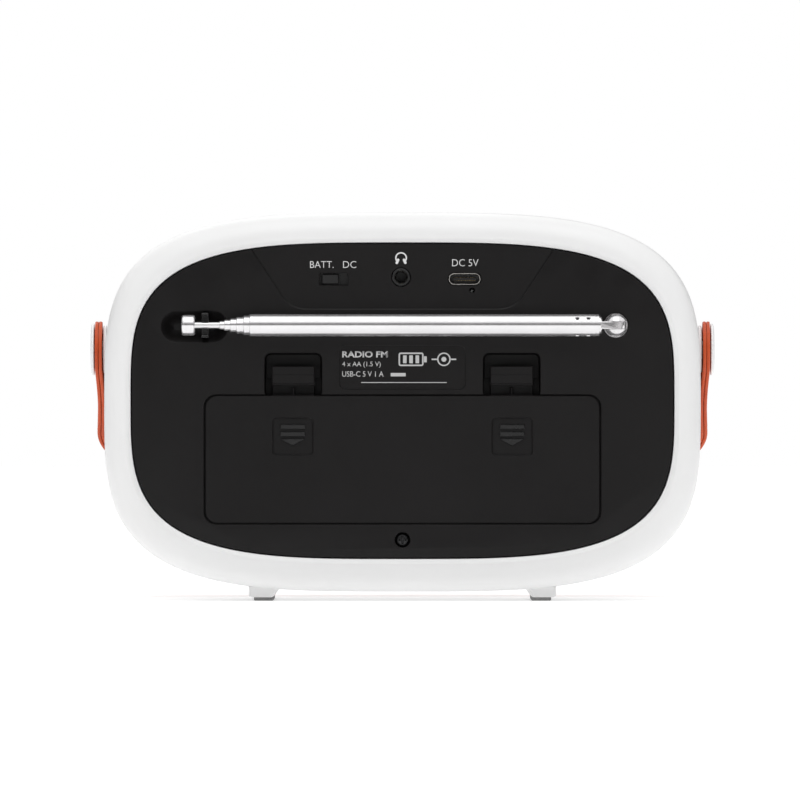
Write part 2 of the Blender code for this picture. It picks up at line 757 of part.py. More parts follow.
def make_battery_contact(name, x_low, z_low, z_high):
    contact = block(name, (x_low, CELL_Y - 0.0045, z_low), (x_low + 0.0005, CELL_Y + 0.0045, z_high))
    return dress(contact, "steel")


def make_battery_contacts():
    reach = DOOR_HALF_WIDTH - TUB_WALL - GAP
    low_row, high_row = CELL_ROWS
    make_battery_contact("battery_bridge", reach - 0.0005, low_row - 0.0045, high_row + 0.0045)
    make_battery_contact("battery_terminal_lower", -reach, low_row - 0.0045, low_row + 0.0045)
    make_battery_contact("battery_terminal_upper", -reach, high_row - 0.0045, high_row + 0.0045)


# ---------------------------------------------------------------- antenna


def make_antenna_fork():
    """Turns in the rear panel. A slot in its ball takes the knuckle's tang."""
    profile = []
    for step in range(7):
        angle = math.pi / 2 * (1 - step / 6)
        profile.append((FORK_RADIUS * math.cos(angle), ANTENNA_Y + FORK_RADIUS * math.sin(angle)))
    profile[0] = (0.0, ANTENNA_Y + FORK_RADIUS)
    profile += [(FORK_RADIUS, 0.0231), (0.0045, 0.0231), (0.0045, 0.0213), (0.0, 0.0213)]
    origin = (ANTENNA_PIVOT_X, 0, ANTENNA_Z)
    fork = turned("antenna_fork", profile, origin, "Y", 24)
    slot_low = (ANTENNA_PIVOT_X - 0.01, ANTENNA_Y - 0.0032, ANTENNA_Z - 0.0013)
    slot_high = (ANTENNA_PIVOT_X + 0.01, ANTENNA_Y + 0.01, ANTENNA_Z + 0.0013)
    cut(fork, block("cut_fork_slot", slot_low, slot_high))
    pin_place = (ANTENNA_PIVOT_X, ANTENNA_Y)
    cut(fork, cylinder("cut_fork_pin", 0.0009, 0.07, 0.09, pin_place, "Z", 16))
    return dress(fork, "chrome")


def make_antenna_pivot_pin():
    centre = (ANTENNA_PIVOT_X, ANTENNA_Y)
    half = FORK_RADIUS - 0.0002
    pin = cylinder("antenna_pivot_pin", 0.00075, ANTENNA_Z - half, ANTENNA_Z + half, centre, "Z", 16)
    return dress(pin, "steel")


def make_antenna_knuckle():
    """Flat tang round the pin, with a round plug that goes into the first tube."""
    origin = (ANTENNA_PIVOT_X, ANTENNA_Y, ANTENNA_Z)
    radius = 0.0028
    points = []
    for step in range(13):
        angle = math.pi / 2 + math.pi * step / 12
        points.append((ANTENNA_PIVOT_X + radius * math.cos(angle), ANTENNA_Y + radius * math.sin(angle)))
    end = TUBE_1_START - 0.0002
    points += [(end, ANTENNA_Y - 0.0026), (end, ANTENNA_Y + 0.0026)]
    knuckle = extrusion(
        "antenna_knuckle", points, ANTENNA_Z - 0.00102, ANTENNA_Z + 0.00102, "Z", origin
    )
    line = (ANTENNA_Y, ANTENNA_Z)
    plug = cylinder("join_plug", 0.00255, end - 0.0008, -0.0492, line, "X", ANTENNA_FACETS)
    join(knuckle, plug)
    pin_place = (ANTENNA_PIVOT_X, ANTENNA_Y)
    cut(knuckle, cylinder("cut_knuckle_pin", 0.0009, 0.07, 0.09, pin_place, "Z", 16))
    return dress(knuckle, "chrome")


def make_antenna_tube(index):
    """Section index of the telescope, 0 the thickest, open at both ends."""
    outer = TUBE_RADII[index]
    inner = outer - TUBE_WALLS[index]
    start = TUBE_1_START if index == 0 else TUBE_2_START + TUBE_START_STEP * (index - 1)
    end = TUBE_ENDS[index]
    profile = [(inner, end), (outer, end), (outer, start), (inner, start)]
    tube = turned(
        f"antenna_tube_{index + 1}", profile, (0, ANTENNA_Y, ANTENNA_Z), "X", ANTENNA_FACETS, ring=True
    )
    return dress(tube, "chrome")


def make_antenna_rod():
    start = TUBE_2_START + TUBE_START_STEP * 5
    line = (ANTENNA_Y, ANTENNA_Z)
    rod = cylinder("antenna_rod", ROD_RADIUS, start, TIP_END - 0.0012, line, "X", ANTENNA_FACETS)
    return dress(rod, "chrome")


def make_antenna_tip():
    profile = [
        (0.0, TIP_END),
        (TIP_RADIUS - 0.0008, TIP_END),
        (TIP_RADIUS - 0.0002, TIP_END - 0.0003),
        (TIP_RADIUS, TIP_END - 0.0009),
        (TIP_RADIUS, TIP_START + 0.0003),
        (TIP_RADIUS - 0.0003, TIP_START),
        (ROD_RADIUS + 0.0002, TIP_START),
        (ROD_RADIUS + 0.0002, TIP_END - 0.0009),
        (0.0, TIP_END - 0.0009),
    ]
    tip = turned("antenna_tip", profile, (0, ANTENNA_Y, ANTENNA_Z), "X", 24)
    return dress(tip, "chrome")


def make_antenna_clip():
    """A cradle in the finger scoop, open to the rear. Its arms clear the widest sliding section."""
    low = SCOOP_FLOOR + GAP
    base = low + CLIP_BASE
    high = ANTENNA_Y + CLIP_ABOVE_LINE
    outer = CLIP_INNER + CLIP_ARM
    outline = [
        (low, ANTENNA_Z - outer),
        (high, ANTENNA_Z - outer),
        (high, ANTENNA_Z - CLIP_INNER),
        (base, ANTENNA_Z - CLIP_INNER),
        (base, ANTENNA_Z + CLIP_INNER),
        (high, ANTENNA_Z + CLIP_INNER),
        (high, ANTENNA_Z + outer),
        (low, ANTENNA_Z + outer),
    ]
    clip = extrusion("antenna_clip", outline, CLIP_X - CLIP_HALF_LENGTH, CLIP_X + CLIP_HALF_LENGTH, "X")
    return dress(clip, "black_plastic")


# ---------------------------------------------------------------- strap and feet


def strap_path():
    """(x, reach, half width) along the strap, from the left stud's end to the right one's."""
    half = []
    for step in range(1, 7):
        angle = math.pi / 2 * step / 6
        reach = -STRAP_HALF_WIDTH * math.cos(angle)
        half.append((STRAP_MIDDLE_X, reach, STRAP_HALF_WIDTH * math.sin(angle)))
    for step in range(1, 4):
        half.append((STRAP_MIDDLE_X, STRAP_STRAIGHT * step / 3, STRAP_HALF_WIDTH))
    bend = STRAP_REACH - STRAP_STRAIGHT
    for step in range(1, 15):
        angle = math.pi / 2 * step / 14
        x = STRAP_MIDDLE_X * math.cos(angle)
        half.append((x, STRAP_STRAIGHT + bend * math.sin(angle), STRAP_HALF_WIDTH))
    return [(-x, reach, width) for x, reach, width in half] + [
        (x, reach, width) for x, reach, width in reversed(half[:-1])
    ]


def make_strap():
    """A band from stud to stud. It is made pointing to the front and turned down about the studs."""
    mesh = bpy.data.meshes.new("strap")
    work = bmesh.new()
    rows = []
    for x, reach, width in strap_path():
        rows.append([work.verts.new((x, -reach, side * width)) for side in (-1, 0, 1)])
    for first, second in zip(rows, rows[1:]):
        for index in (0, 1):
            work.faces.new((first[index], first[index + 1], second[index + 1], second[index]))
    bmesh.ops.recalc_face_normals(work, faces=work.faces)
    work.to_mesh(mesh)
    work.free()
    strap = place("strap", mesh, (0, STUD_Y, STUD_Z))
    strap.rotation_euler = (STRAP_ANGLE, 0, 0)
    thick = strap.modifiers.new("thickness", "SOLIDIFY")
    thick.thickness = STRAP_THICKNESS
    thick.offset = 0
    cut(strap, cylinder("cut_strap_holes", 0.0028, -0.1, 0.1, (STUD_Y, STUD_Z), "X", 20))
    return dress(strap, "leather")


def make_strap_boss(name, side):
    """Collar between housing and strap, with a hub through the housing's wall."""
    inner = 0.0790
    profile = [
        (0.0028, 0.08465),
        (0.0064, 0.08465),
        (0.0068, 0.08445),
        (0.0068, 0.08405),
        (0.0040, 0.08405),
        (0.0040, inner),
        (0.0028, inner),
    ]
    axis = "X" if side > 0 else "-X"
    boss = turned(name, profile, (0, STUD_Y, STUD_Z), axis, 24, ring=True)
    return dress(boss, "white_plastic")


def make_strap_stud(name, side):
    """Cap outside the strap and the pin it turns on."""
    profile = [
        (0.0, 0.08830),
        (0.0052, 0.08825),
        (0.0067, 0.08795),
        (0.0073, 0.08755),
        (0.0073, 0.08725),
        (0.0025, 0.08725),
        (0.0025, 0.0800),
        (0.0, 0.0800),
    ]
    axis = "X" if side > 0 else "-X"
    stud = turned(name, profile, (0, STUD_Y, STUD_Z), axis, 24)
    return dress(stud, "white_plastic")


def underside(x):
    """Height of the housing's lower surface at x."""
    share = abs(x) / HOUSING_HALF_WIDTH
    return HOUSING_Z - HOUSING_HALF_HEIGHT * (1 - share**OUTLINE_POWER) ** (1 / OUTLINE_POWER)


def make_foot(name, side):
    """A skid from front to back, its inner flank slanted, with a pocket below for its pad."""
    outline = [
        (side * FOOT_INNER, 0.0010),
        (side * FOOT_OUTER, 0.0010),
        (side * FOOT_OUTER, underside(FOOT_OUTER) - GAP),
        (side * 0.0390, underside(0.0390) - GAP),
        (side * 0.0343, underside(0.0343) - GAP),
    ]
    foot = extrusion(name, outline, -FOOT_HALF_LENGTH, FOOT_HALF_LENGTH)
    x_low, x_high = sorted((side * (PAD_INNER - GAP), side * (PAD_OUTER + GAP)))
    low = (x_low, -FOOT_HALF_LENGTH + 0.0012, -0.01)
    high = (x_high, FOOT_HALF_LENGTH - 0.0012, 0.0019)
    cut(foot, block("cut_pocket_" + name, low, high))
    return dress(foot, "white_plastic")


def make_foot_pad(name, side):
    x_low, x_high = sorted((side * PAD_INNER, side * PAD_OUTER))
    pad = block(
        name, (x_low, -FOOT_HALF_LENGTH + 0.0015, 0), (x_high, FOOT_HALF_LENGTH - 0.0015, 0.0016)
    )
    return dress(pad, "rubber")


# ---------------------------------------------------------------- assembly


def make_all():
    make_housing()
    make_rear_panel()
    make_rear_panel_screw()
    make_front_panel()
    make_speaker_grille()
    make_speaker_basket()
    make_speaker_cone()
    make_speaker_magnet()
    make_display_window()
    make_display_module()
    make_main_board()
    make_jack_board()
    make_knob("tuning_knob", TUNING_X, TUNING_Z, TUNING_RADIUS, 24)
    make_knob("volume_knob", VOLUME_X, VOLUME_Z, VOLUME_RADIUS, 18)
    make_control("tuning_encoder", TUNING_X, TUNING_Z, 0.0062)
    make_control("volume_control", VOLUME_X, VOLUME_Z, 0.0052)
    for index, x in enumerate(BUTTON_XS, 1):
        make_button(f"button_{index}", x)
    make_usb_c_shell()
    make_usb_c_tongue()
    make_headphone_socket()
    make_power_switch_housing()
    make_power_slider()
    make_status_led()
    make_battery_door()
    make_battery_contacts()
    for row, row_z in enumerate(CELL_ROWS):
        for column, direction in enumerate((-1, 1)):
            make_battery_cell(f"battery_cell_{2 * row + column + 1}", direction, row_z)
    make_antenna_fork()
    make_antenna_pivot_pin()
    make_antenna_knuckle()
    for index in range(len(TUBE_RADII)):
        make_antenna_tube(index)
    make_antenna_rod()
    make_antenna_tip()
    make_antenna_clip()
    make_strap()
    for word, side in (("left", -1), ("right", 1)):
        make_latch("latch_" + word, side)
        make_strap_boss("strap_boss_" + word, side)
        make_strap_stud("strap_stud_" + word, side)
        make_foot("foot_" + word, side)
        make_foot_pad("foot_pad_" + word, side)


clear_scene()
PARTS = new_collection("tabletop_radio")
CUTTERS = new_collection("cutters")
FRAME = new_frame()
make_all()
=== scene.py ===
"""Looks of the portable radio: fine shells, printed marks, stitched strap and materials round the frame."""

import math

import bmesh
import bpy
from mathutils import Matrix, Vector


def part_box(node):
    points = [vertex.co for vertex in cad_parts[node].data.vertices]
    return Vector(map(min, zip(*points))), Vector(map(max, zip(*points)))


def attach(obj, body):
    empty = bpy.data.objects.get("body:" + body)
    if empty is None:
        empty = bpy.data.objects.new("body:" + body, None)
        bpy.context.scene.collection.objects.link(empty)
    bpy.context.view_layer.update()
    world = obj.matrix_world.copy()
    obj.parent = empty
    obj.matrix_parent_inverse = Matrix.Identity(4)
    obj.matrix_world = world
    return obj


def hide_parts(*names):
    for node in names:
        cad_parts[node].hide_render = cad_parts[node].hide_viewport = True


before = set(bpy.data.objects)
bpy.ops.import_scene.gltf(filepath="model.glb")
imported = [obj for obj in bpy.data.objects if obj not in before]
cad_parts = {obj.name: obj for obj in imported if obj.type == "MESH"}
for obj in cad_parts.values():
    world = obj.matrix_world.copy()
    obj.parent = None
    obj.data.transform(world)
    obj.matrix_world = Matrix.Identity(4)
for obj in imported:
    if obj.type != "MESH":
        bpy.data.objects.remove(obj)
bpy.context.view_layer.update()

MM = 0.001
OUTLINE_POWER = 3.55
OUTLINE_POINTS = 240


class Place:
    """A node's box in the frame: its corners, middle and sides."""

    def __init__(self, name):
        self.low, self.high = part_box(name)
        self.x, self.y, self.z = [(a + b) / 2 for a, b in zip(self.low, self.high)]
        self.width, self.depth, self.height = [b - a for a, b in zip(self.low, self.high)]
        self.radius = self.height / 2
        self.face = (self.x, self.z)

    def outline(self, radius, grow=0.0, steps=8):
        """Its face along y as a rounded rectangle, larger by grow."""
        return rounded(self.face, self.width + grow, self.height + grow, radius, steps)


HOUSING = Place("housing")
PANEL = Place("rear_panel")
DOOR = Place("battery_door")
PIN = Place("antenna_pivot_pin")
STUD = Place("strap_stud_right")
HALF_DEPTH = HOUSING.depth / 2
PANEL_FACE = PANEL.high[1]
FRONT_FACE = 2 * HOUSING.y - PANEL_FACE
PANEL_LIP = 2.1 * MM
ANTENNA_LINE = (0, PIN.y, PIN.z)
SIDES = (("left", -1), ("right", 1))


def sunk(depth):
    """The y that lies depth millimetres below the rear panel's face."""
    return PANEL_FACE - depth * MM


def around(middle, half):
    return (middle - half, middle + half)


# ---------------------------------------------------------------- materials


class Nodes:
    """Short ways to add and join the nodes of one material."""

    def __init__(self, name):
        self.material = bpy.data.materials.new(name)
        self.material.use_nodes = True
        self.tree = self.material.node_tree
        self.shader = self.tree.nodes["Principled BSDF"]
        self.coords = self.tree.nodes.new("ShaderNodeTexCoord").outputs["Object"]

    def set(self, **values):
        for key, value in values.items():
            self.shader.inputs[key.replace("_", " ")].default_value = value
        return self

    def add(self, kind, **inputs):
        node = self.tree.nodes.new("ShaderNode" + kind)
        for key, value in inputs.items():
            socket = node.inputs[key.replace("_", " ")]
            if isinstance(value, bpy.types.NodeSocket):
                self.tree.links.new(value, socket)
            else:
                socket.default_value = value
        return node

    def noise(self, scale, detail=4.0, stretch=(1, 1, 1)):
        vector = self.add("Mapping", Vector=self.coords, Scale=stretch).outputs[0]
        return self.add("TexNoise", Vector=vector, Scale=scale, Detail=detail).outputs[0]

    def between(self, value, low, high, from_low=0.3, from_high=0.7):
        node = self.add("MapRange", Value=value)
        node.inputs[1].default_value = from_low
        node.inputs[2].default_value = from_high
        node.inputs[3].default_value = low
        node.inputs[4].default_value = high
        return node.outputs[0]

    def mix(self, value, first, second):
        node = self.tree.nodes.new("ShaderNodeMix")
        node.data_type = "RGBA"
        self.tree.links.new(value, node.inputs[0])
        for index, colour in ((6, first), (7, second)):
            if isinstance(colour, bpy.types.NodeSocket):
                self.tree.links.new(colour, node.inputs[index])
            else:
                node.inputs[index].default_value = (*colour, 1)
        return node.outputs[2]

    def link(self, output, name):
        self.tree.links.new(output, self.shader.inputs[name])
        return self

    def bump(self, height, distance, strength=1.0):
        node = self.add("Bump", Strength=strength, Distance=distance, Height=height)
        return self.link(node.outputs[0], "Normal")


def plastic(name, low, high, rough, bump_scale, bump, specular=0.5):
    """Moulded plastic: a faint cloud of colour, roughness that drifts, and a fine mould texture."""
    nodes = Nodes(name).set(Specular_IOR_Level=specular)
    drift = nodes.noise(38, 3)
    nodes.link(nodes.mix(nodes.between(drift, 0, 1), low, high), "Base Color")
    nodes.link(nodes.between(nodes.noise(160, 3), rough[0], rough[1]), "Roughness")
    grain = nodes.noise(bump_scale, 2)
    return nodes.bump(grain, bump).material


def metal(name, low, high, rough, stretch=(1, 1, 1), share=1.0):
    """Plated or rolled metal: hairline streaks in the roughness and a trace of bump."""
    nodes = Nodes(name).set(Metallic=share)
    cloud = nodes.noise(60, 3)
    nodes.link(nodes.mix(nodes.between(cloud, 0, 1), low, high), "Base Color")
    streak = nodes.noise(900, 3, stretch)
    nodes.link(nodes.between(streak, rough[0], rough[1]), "Roughness")
    return nodes.bump(streak, 0.000002).material


def leather(name, low, high, dark):
    """Smooth pigmented leather: pebbled grain, pores, worn lighter and darker in patches."""
    nodes = Nodes(name).set(Specular_IOR_Level=0.36, Coat_Weight=0.04, Coat_Roughness=0.4)
    patches = nodes.mix(nodes.between(nodes.noise(55, 4), 0, 1), low, high)
    cells = nodes.add("TexVoronoi", Vector=nodes.coords, Scale=2300.0).outputs["Distance"]
    creases = nodes.between(cells, 1, 0, 0.0, 0.35)
    nodes.link(nodes.mix(nodes.between(creases, 0, 0.35, 0, 1), patches, dark), "Base Color")
    nodes.link(nodes.between(nodes.noise(700, 3), 0.42, 0.62), "Roughness")
    return nodes.bump(cells, 0.00006).material


def glass(name, tint):
    nodes = Nodes(name).set(Transmission_Weight=1.0, IOR=1.46, Alpha=1.0)
    smear = nodes.noise(45, 3)
    nodes.link(nodes.mix(nodes.between(smear, 0, 1), tint, [c * 0.94 for c in tint]), "Base Color")
    nodes.link(nodes.between(smear, 0.02, 0.06), "Roughness")
    return nodes.material


# key: name, two colours, roughness range, grain's scale and height, and specular level if it isn't 0.5
PLASTICS = {
    "white": ("white_shell", (0.84, 0.84, 0.838), (0.86, 0.86, 0.86), (0.30, 0.36), 5200, 0.0000012),
    # The skids' white is the housing's white plastic painted lighter: painted light on the feet, not a
    # different plastic.
    "skid_white_painted_light": ("skid_white_painted_light", (0.94, 0.94, 0.938), (0.96, 0.96, 0.96), (0.30, 0.36), 5200, 0.0000012),
    "black": (
        "black_texture",
        (0.0042, 0.0036, 0.0037),
        (0.0058, 0.0050, 0.0052),
        (0.38, 0.48),
        5200,
        0.00001,
        0.24,
    ),
    "black_smooth": (
        "black_gloss",
        (0.006, 0.006, 0.0062),
        (0.009, 0.009, 0.0092),
        (0.24, 0.32),
        1800,
        0.000003,
    ),
    "grey": ("grey_moulding", (0.055, 0.057, 0.06), (0.075, 0.077, 0.08), (0.45, 0.6), 2600, 0.00001),
    "rubber": ("foot_rubber", (0.24, 0.24, 0.24), (0.32, 0.32, 0.32), (0.7, 0.9), 3200, 0.00003, 0.3),
    "ink": ("print_ink", (0.66, 0.66, 0.66), (0.78, 0.78, 0.78), (0.5, 0.65), 6000, 0.000002),
    "ink_faint": ("print_ink_small", (0.52, 0.52, 0.52), (0.64, 0.64, 0.64), (0.5, 0.65), 6000, 0.000002),
    "lcd": ("display_cell", (0.50, 0.58, 0.47), (0.54, 0.62, 0.51), (0.3, 0.4), 2000, 0.000002),
    "segment": ("display_segment", (0.008, 0.01, 0.01), (0.011, 0.013, 0.013), (0.35, 0.45), 2000, 0.000002),
    "board": ("solder_mask", (0.01, 0.10, 0.035), (0.015, 0.14, 0.05), (0.3, 0.42), 900, 0.00002),
    "cloth": ("grille_cloth", (0.01, 0.01, 0.011), (0.022, 0.022, 0.023), (0.8, 0.95), 3600, 0.00015, 0.2),
    "cone": ("pressed_pulp", (0.014, 0.014, 0.015), (0.03, 0.03, 0.03), (0.8, 0.95), 2200, 0.00008, 0.2),
    "sleeve": ("cell_sleeve", (0.02, 0.09, 0.22), (0.03, 0.12, 0.28), (0.22, 0.3), 700, 0.000004),
    "sleeve_end": ("cell_sleeve_band", (0.55, 0.36, 0.12), (0.62, 0.42, 0.15), (0.22, 0.3), 700, 0.000004),
    "thread": ("waxed_thread", (0.62, 0.15, 0.05), (0.78, 0.22, 0.08), (0.55, 0.7), 5000, 0.00003),
}

# key: name, two colours, roughness range, and where needed the streaks' stretch and the metallic share
METALS = {
    "chrome": ("chrome_plate", (0.76, 0.75, 0.76), (0.83, 0.82, 0.83), (0.13, 0.18), (0.03, 1, 1), 0.8),
    "steel": ("rolled_steel", (0.42, 0.42, 0.43), (0.55, 0.55, 0.56), (0.22, 0.38), (0.1, 1, 1)),
    "nickel": ("nickel_shell", (0.62, 0.60, 0.57), (0.72, 0.70, 0.66), (0.16, 0.26)),
    "screw": ("blackened_screw", (0.035, 0.035, 0.036), (0.06, 0.06, 0.062), (0.3, 0.42)),
    "gold": ("gold_contact", (0.75, 0.52, 0.2), (0.85, 0.6, 0.26), (0.15, 0.3)),
}

# key: name, two colours and the creases' colour
LEATHERS = {
    "leather": ("strap_leather", (0.50, 0.062, 0.012), (0.60, 0.086, 0.017), (0.26, 0.026, 0.006)),
    "leather_edge": ("strap_cut_edge", (0.13, 0.014, 0.006), (0.19, 0.022, 0.009), (0.06, 0.007, 0.004)),
}


def make_materials():
    found = {key: plastic(*values) for key, values in PLASTICS.items()}
    found.update({key: metal(*values) for key, values in METALS.items()})
    found.update({key: leather(*values) for key, values in LEATHERS.items()})
    found["glass"] = glass("display_glass", (0.62, 0.66, 0.66))
    found["led"] = glass("led_lens", (0.75, 0.80, 0.78))
    return found


# ---------------------------------------------------------------- outlines in the x, z plane


def superellipse(half_width, half_height, centre_z, count=OUTLINE_POINTS):
    """Points of the radio's outline family, anticlockwise from the right."""
    points = []
    for step in range(count):
        angle = 2 * math.pi * step / count
        across = abs(math.cos(angle)) / half_width
        up = abs(math.sin(angle)) / half_height
        reach = (across**OUTLINE_POWER + up**OUTLINE_POWER) ** (-1 / OUTLINE_POWER)
        points.append((reach * math.cos(angle), centre_z + reach * math.sin(angle)))
    return points


def housing_outline(offset=0.0):
    return superellipse(HOUSING.width / 2 + offset, HOUSING.height / 2 + offset, HOUSING.z)


def panel_outline(offset=0.0):
    grow = offset - PANEL_LIP
    return superellipse(PANEL.width / 2 + grow, PANEL.height / 2 + grow, PANEL.z)


def rounded(centre, width, height, radius, steps=8):
    """Returns outline(offset) of a rounded rectangle."""

    def outline(offset=0.0):
        r = max(radius + offset, 0.00002)
        half_w = max(width / 2 + offset, r)
        half_h = max(height / 2 + offset, r)
        points = []
        for quarter, (su, sv) in enumerate(((1, 1), (-1, 1), (-1, -1), (1, -1))):
            u = centre[0] + su * (half_w - r)
            v = centre[1] + sv * (half_h - r)
            for step in range(steps + 1):
                angle = math.pi / 2 * (quarter + step / steps)
                points.append((u + r * math.cos(angle), v + r * math.sin(angle)))
        return points

    return outline


def circle(centre, radius, steps=48):
    def outline(offset=0.0):
        r = radius + offset
        turns = [2 * math.pi / steps * step for step in range(steps)]
        return [(centre[0] + r * math.cos(turn), centre[1] + r * math.sin(turn)) for turn in turns]

    return outline


def turned(points, angle, centre):
    """Flat points turned about the origin, then moved to a centre."""
    c, s = math.cos(angle), math.sin(angle)
    return [(centre[0] + u * c - v * s, centre[1] + u * s + v * c) for u, v in points]


def round_over(radius, height, across, steps=6, down=None):
    """Lathe points of a rounded edge, from its face at height round to its side at radius."""
    down = across if down is None else down
    points = []
    for step in range(steps + 1):
        angle = math.pi / 2 * step / steps
        points.append((radius - across * (1 - math.sin(angle)), height - down * (1 - math.cos(angle))))
    return points


# ---------------------------------------------------------------- meshes


def new_object(name, verts, faces, smooth=30):
    mesh = bpy.data.meshes.new(name)
    mesh.from_pydata(verts, [], faces)
    obj = bpy.data.objects.new(name, mesh)
    bpy.context.scene.collection.objects.link(obj)
    tidy_normals(obj, smooth)
    return obj


def tidy_normals(obj, smooth=30):
    work = bmesh.new()
    work.from_mesh(obj.data)
    bmesh.ops.remove_doubles(work, verts=work.verts, dist=1e-7)
    bmesh.ops.recalc_face_normals(work, faces=work.faces)
    work.to_mesh(obj.data)
    work.free()
    obj.data.shade_smooth()
    obj.data.set_sharp_from_angle(angle=math.radians(smooth))


def loft(name, rings, caps=True, loop=False, smooth=30):
    """Joins rings of points in order. caps fills both ends; loop joins the last ring to the first."""
    count = len(rings[0])
    verts = [point for ring in rings for point in ring]
    faces = []
    pairs = list(range(len(rings) - 1)) + ([len(rings) - 1] if loop else [])
    for row in pairs:
        low = row * count
        high = ((row + 1) % len(rings)) * count
        for step in range(count):
            after = (step + 1) % count
            faces.append((low + step, low + after, high + after, high + step))
    if caps and not loop:
        faces.append(tuple(range(count)))
        faces.append(tuple(range((len(rings) - 1) * count, len(rings) * count)))
    return new_object(name, verts, faces, smooth)


def at_y(outline, y):
    return [(u, y, v) for u, v in outline]


def slab(name, outline, low, high, chamfer=0.0003, smooth=30):
    """A plate of outline(offset) between two y values with its edges taken off."""
    levels = ((low, -chamfer), (low + chamfer, 0), (high - chamfer, 0), (high, -chamfer))
    return loft(name, [at_y(outline(offset), y) for y, offset in levels], smooth=smooth)


def pocket(outline, mouth, floor, chamfer=0.0002, fillet=0.0002):
    """A cutter from a face at y = mouth down to y = floor, with a chamfered mouth and a filleted floor."""
    out = 1 if mouth > floor else -1
    levels = (
        (mouth + out * chamfer, 2 * chamfer),
        (mouth - out * chamfer, 0),
        (floor + out * fillet, 0),
        (floor, -fillet),
    )
    return loft("cutter", [at_y(outline(offset), y) for y, offset in levels])


def combine(obj, tools, operation, smooth=30):
    for tool in tools:
        modifier = obj.modifiers.new("join", "BOOLEAN")
        modifier.operation = operation
        modifier.solver = "MANIFOLD"
        modifier.object = tool
    graph = bpy.context.evaluated_depsgraph_get()
    mesh = bpy.data.meshes.new_from_object(obj.evaluated_get(graph))
    obj.modifiers.clear()
    obj.data = mesh
    for tool in tools:
        bpy.data.objects.remove(tool)
    tidy_normals(obj, smooth)
    return obj


def cut(obj, *tools, smooth=30):
    return combine(obj, tools, "DIFFERENCE", smooth)


def join(obj, *tools, smooth=30):
    return combine(obj, tools, "UNION", smooth)


TURNS = {
    "X": lambda r, h, c, s: (h, r * c, r * s),
    "-X": lambda r, h, c, s: (-h, r * c, r * s),
    "Y": lambda r, h, c, s: (r * c, h, r * s),
    "Z": lambda r, h, c, s: (r * c, r * s, h),
}


def lathe(name, profile, centre, axis="Y", steps=64, loop=False, smooth=30):
    """Turns (radius, height) points about an axis; heights are absolute, centre fills the other two."""
    rings = []
    for radius, height in profile:
        ring = []
        for step in range(steps):
            angle = 2 * math.pi * step / steps
            point = TURNS[axis](max(radius, 1e-6), height, math.cos(angle), math.sin(angle))
            ring.append(tuple(p + c for p, c in zip(point, centre)))
        rings.append(ring)
    return loft(name, rings, loop=loop, smooth=smooth)


def box(name, low, high, edge=0.0002):
    """A block with chamfered edges, made from rings along y."""
    centre = ((low[0] + high[0]) / 2, (low[2] + high[2]) / 2)
    outline = rounded(centre, high[0] - low[0], high[2] - low[2], edge, 2)
    return slab(name, outline, low[1], high[1], edge)


def piece(x, y, z, edge=0.0002):
    """A block between pairs of x, y and z values, to be joined to another piece or cut from it."""
    return box("piece", (x[0], y[0], z[0]), (x[1], y[1], z[1]), edge)


def sweep(name, path, radius, steps=8, closed=False):
    """A round wire along points."""
    rings = []
    up = Vector((0, 0, 1))
    for index, point in enumerate(path):
        before = Vector(path[index - 1 if closed or index else 0])
        after = Vector(path[(index + 1) % len(path) if closed else min(index + 1, len(path) - 1)])
        along = (after - before).normalized()
        side = along.cross(up)
        if side.length < 1e-3:
            side = along.cross(Vector((1, 0, 0)))
        side.normalize()
        top = side.cross(along)
        ring = []
        for step in range(steps):
            angle = 2 * math.pi * step / steps
            ring.append(tuple(Vector(point) + (side * math.cos(angle) + top * math.sin(angle)) * radius))
        rings.append(ring)
    return loft(name, rings, loop=closed)


def merged(name, objects):
    """Several meshes of one material as one object."""
    work = bmesh.new()
    for obj in objects:
        work.from_mesh(obj.data)
        bpy.data.objects.remove(obj)
    mesh = bpy.data.meshes.new(name)
    work.to_mesh(mesh)
    work.free()
    obj = bpy.data.objects.new(name, mesh)
    bpy.context.scene.collection.objects.link(obj)
    return obj


def dress(obj, material, body, slot, *replaced):
    """Gives a piece its material and the body it rides on; the slot argument is not used."""
    obj.data.materials.clear()
    obj.data.materials.append(MATERIALS[material])
    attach(obj, body)
    if replaced:
        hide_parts(*replaced)
    return obj


INK = 0.04 * MM

# Rows of a matrix that lays text's x, y and z along the radio's axes, read from behind or from the front.
READ_FROM = {
    "rear": Matrix(((-1, 0, 0), (0, 0, 1), (0, 1, 0))).to_4x4(),
    "front": Matrix(((1, 0, 0), (0, 0, -1), (0, 1, 0))).to_4x4(),
}


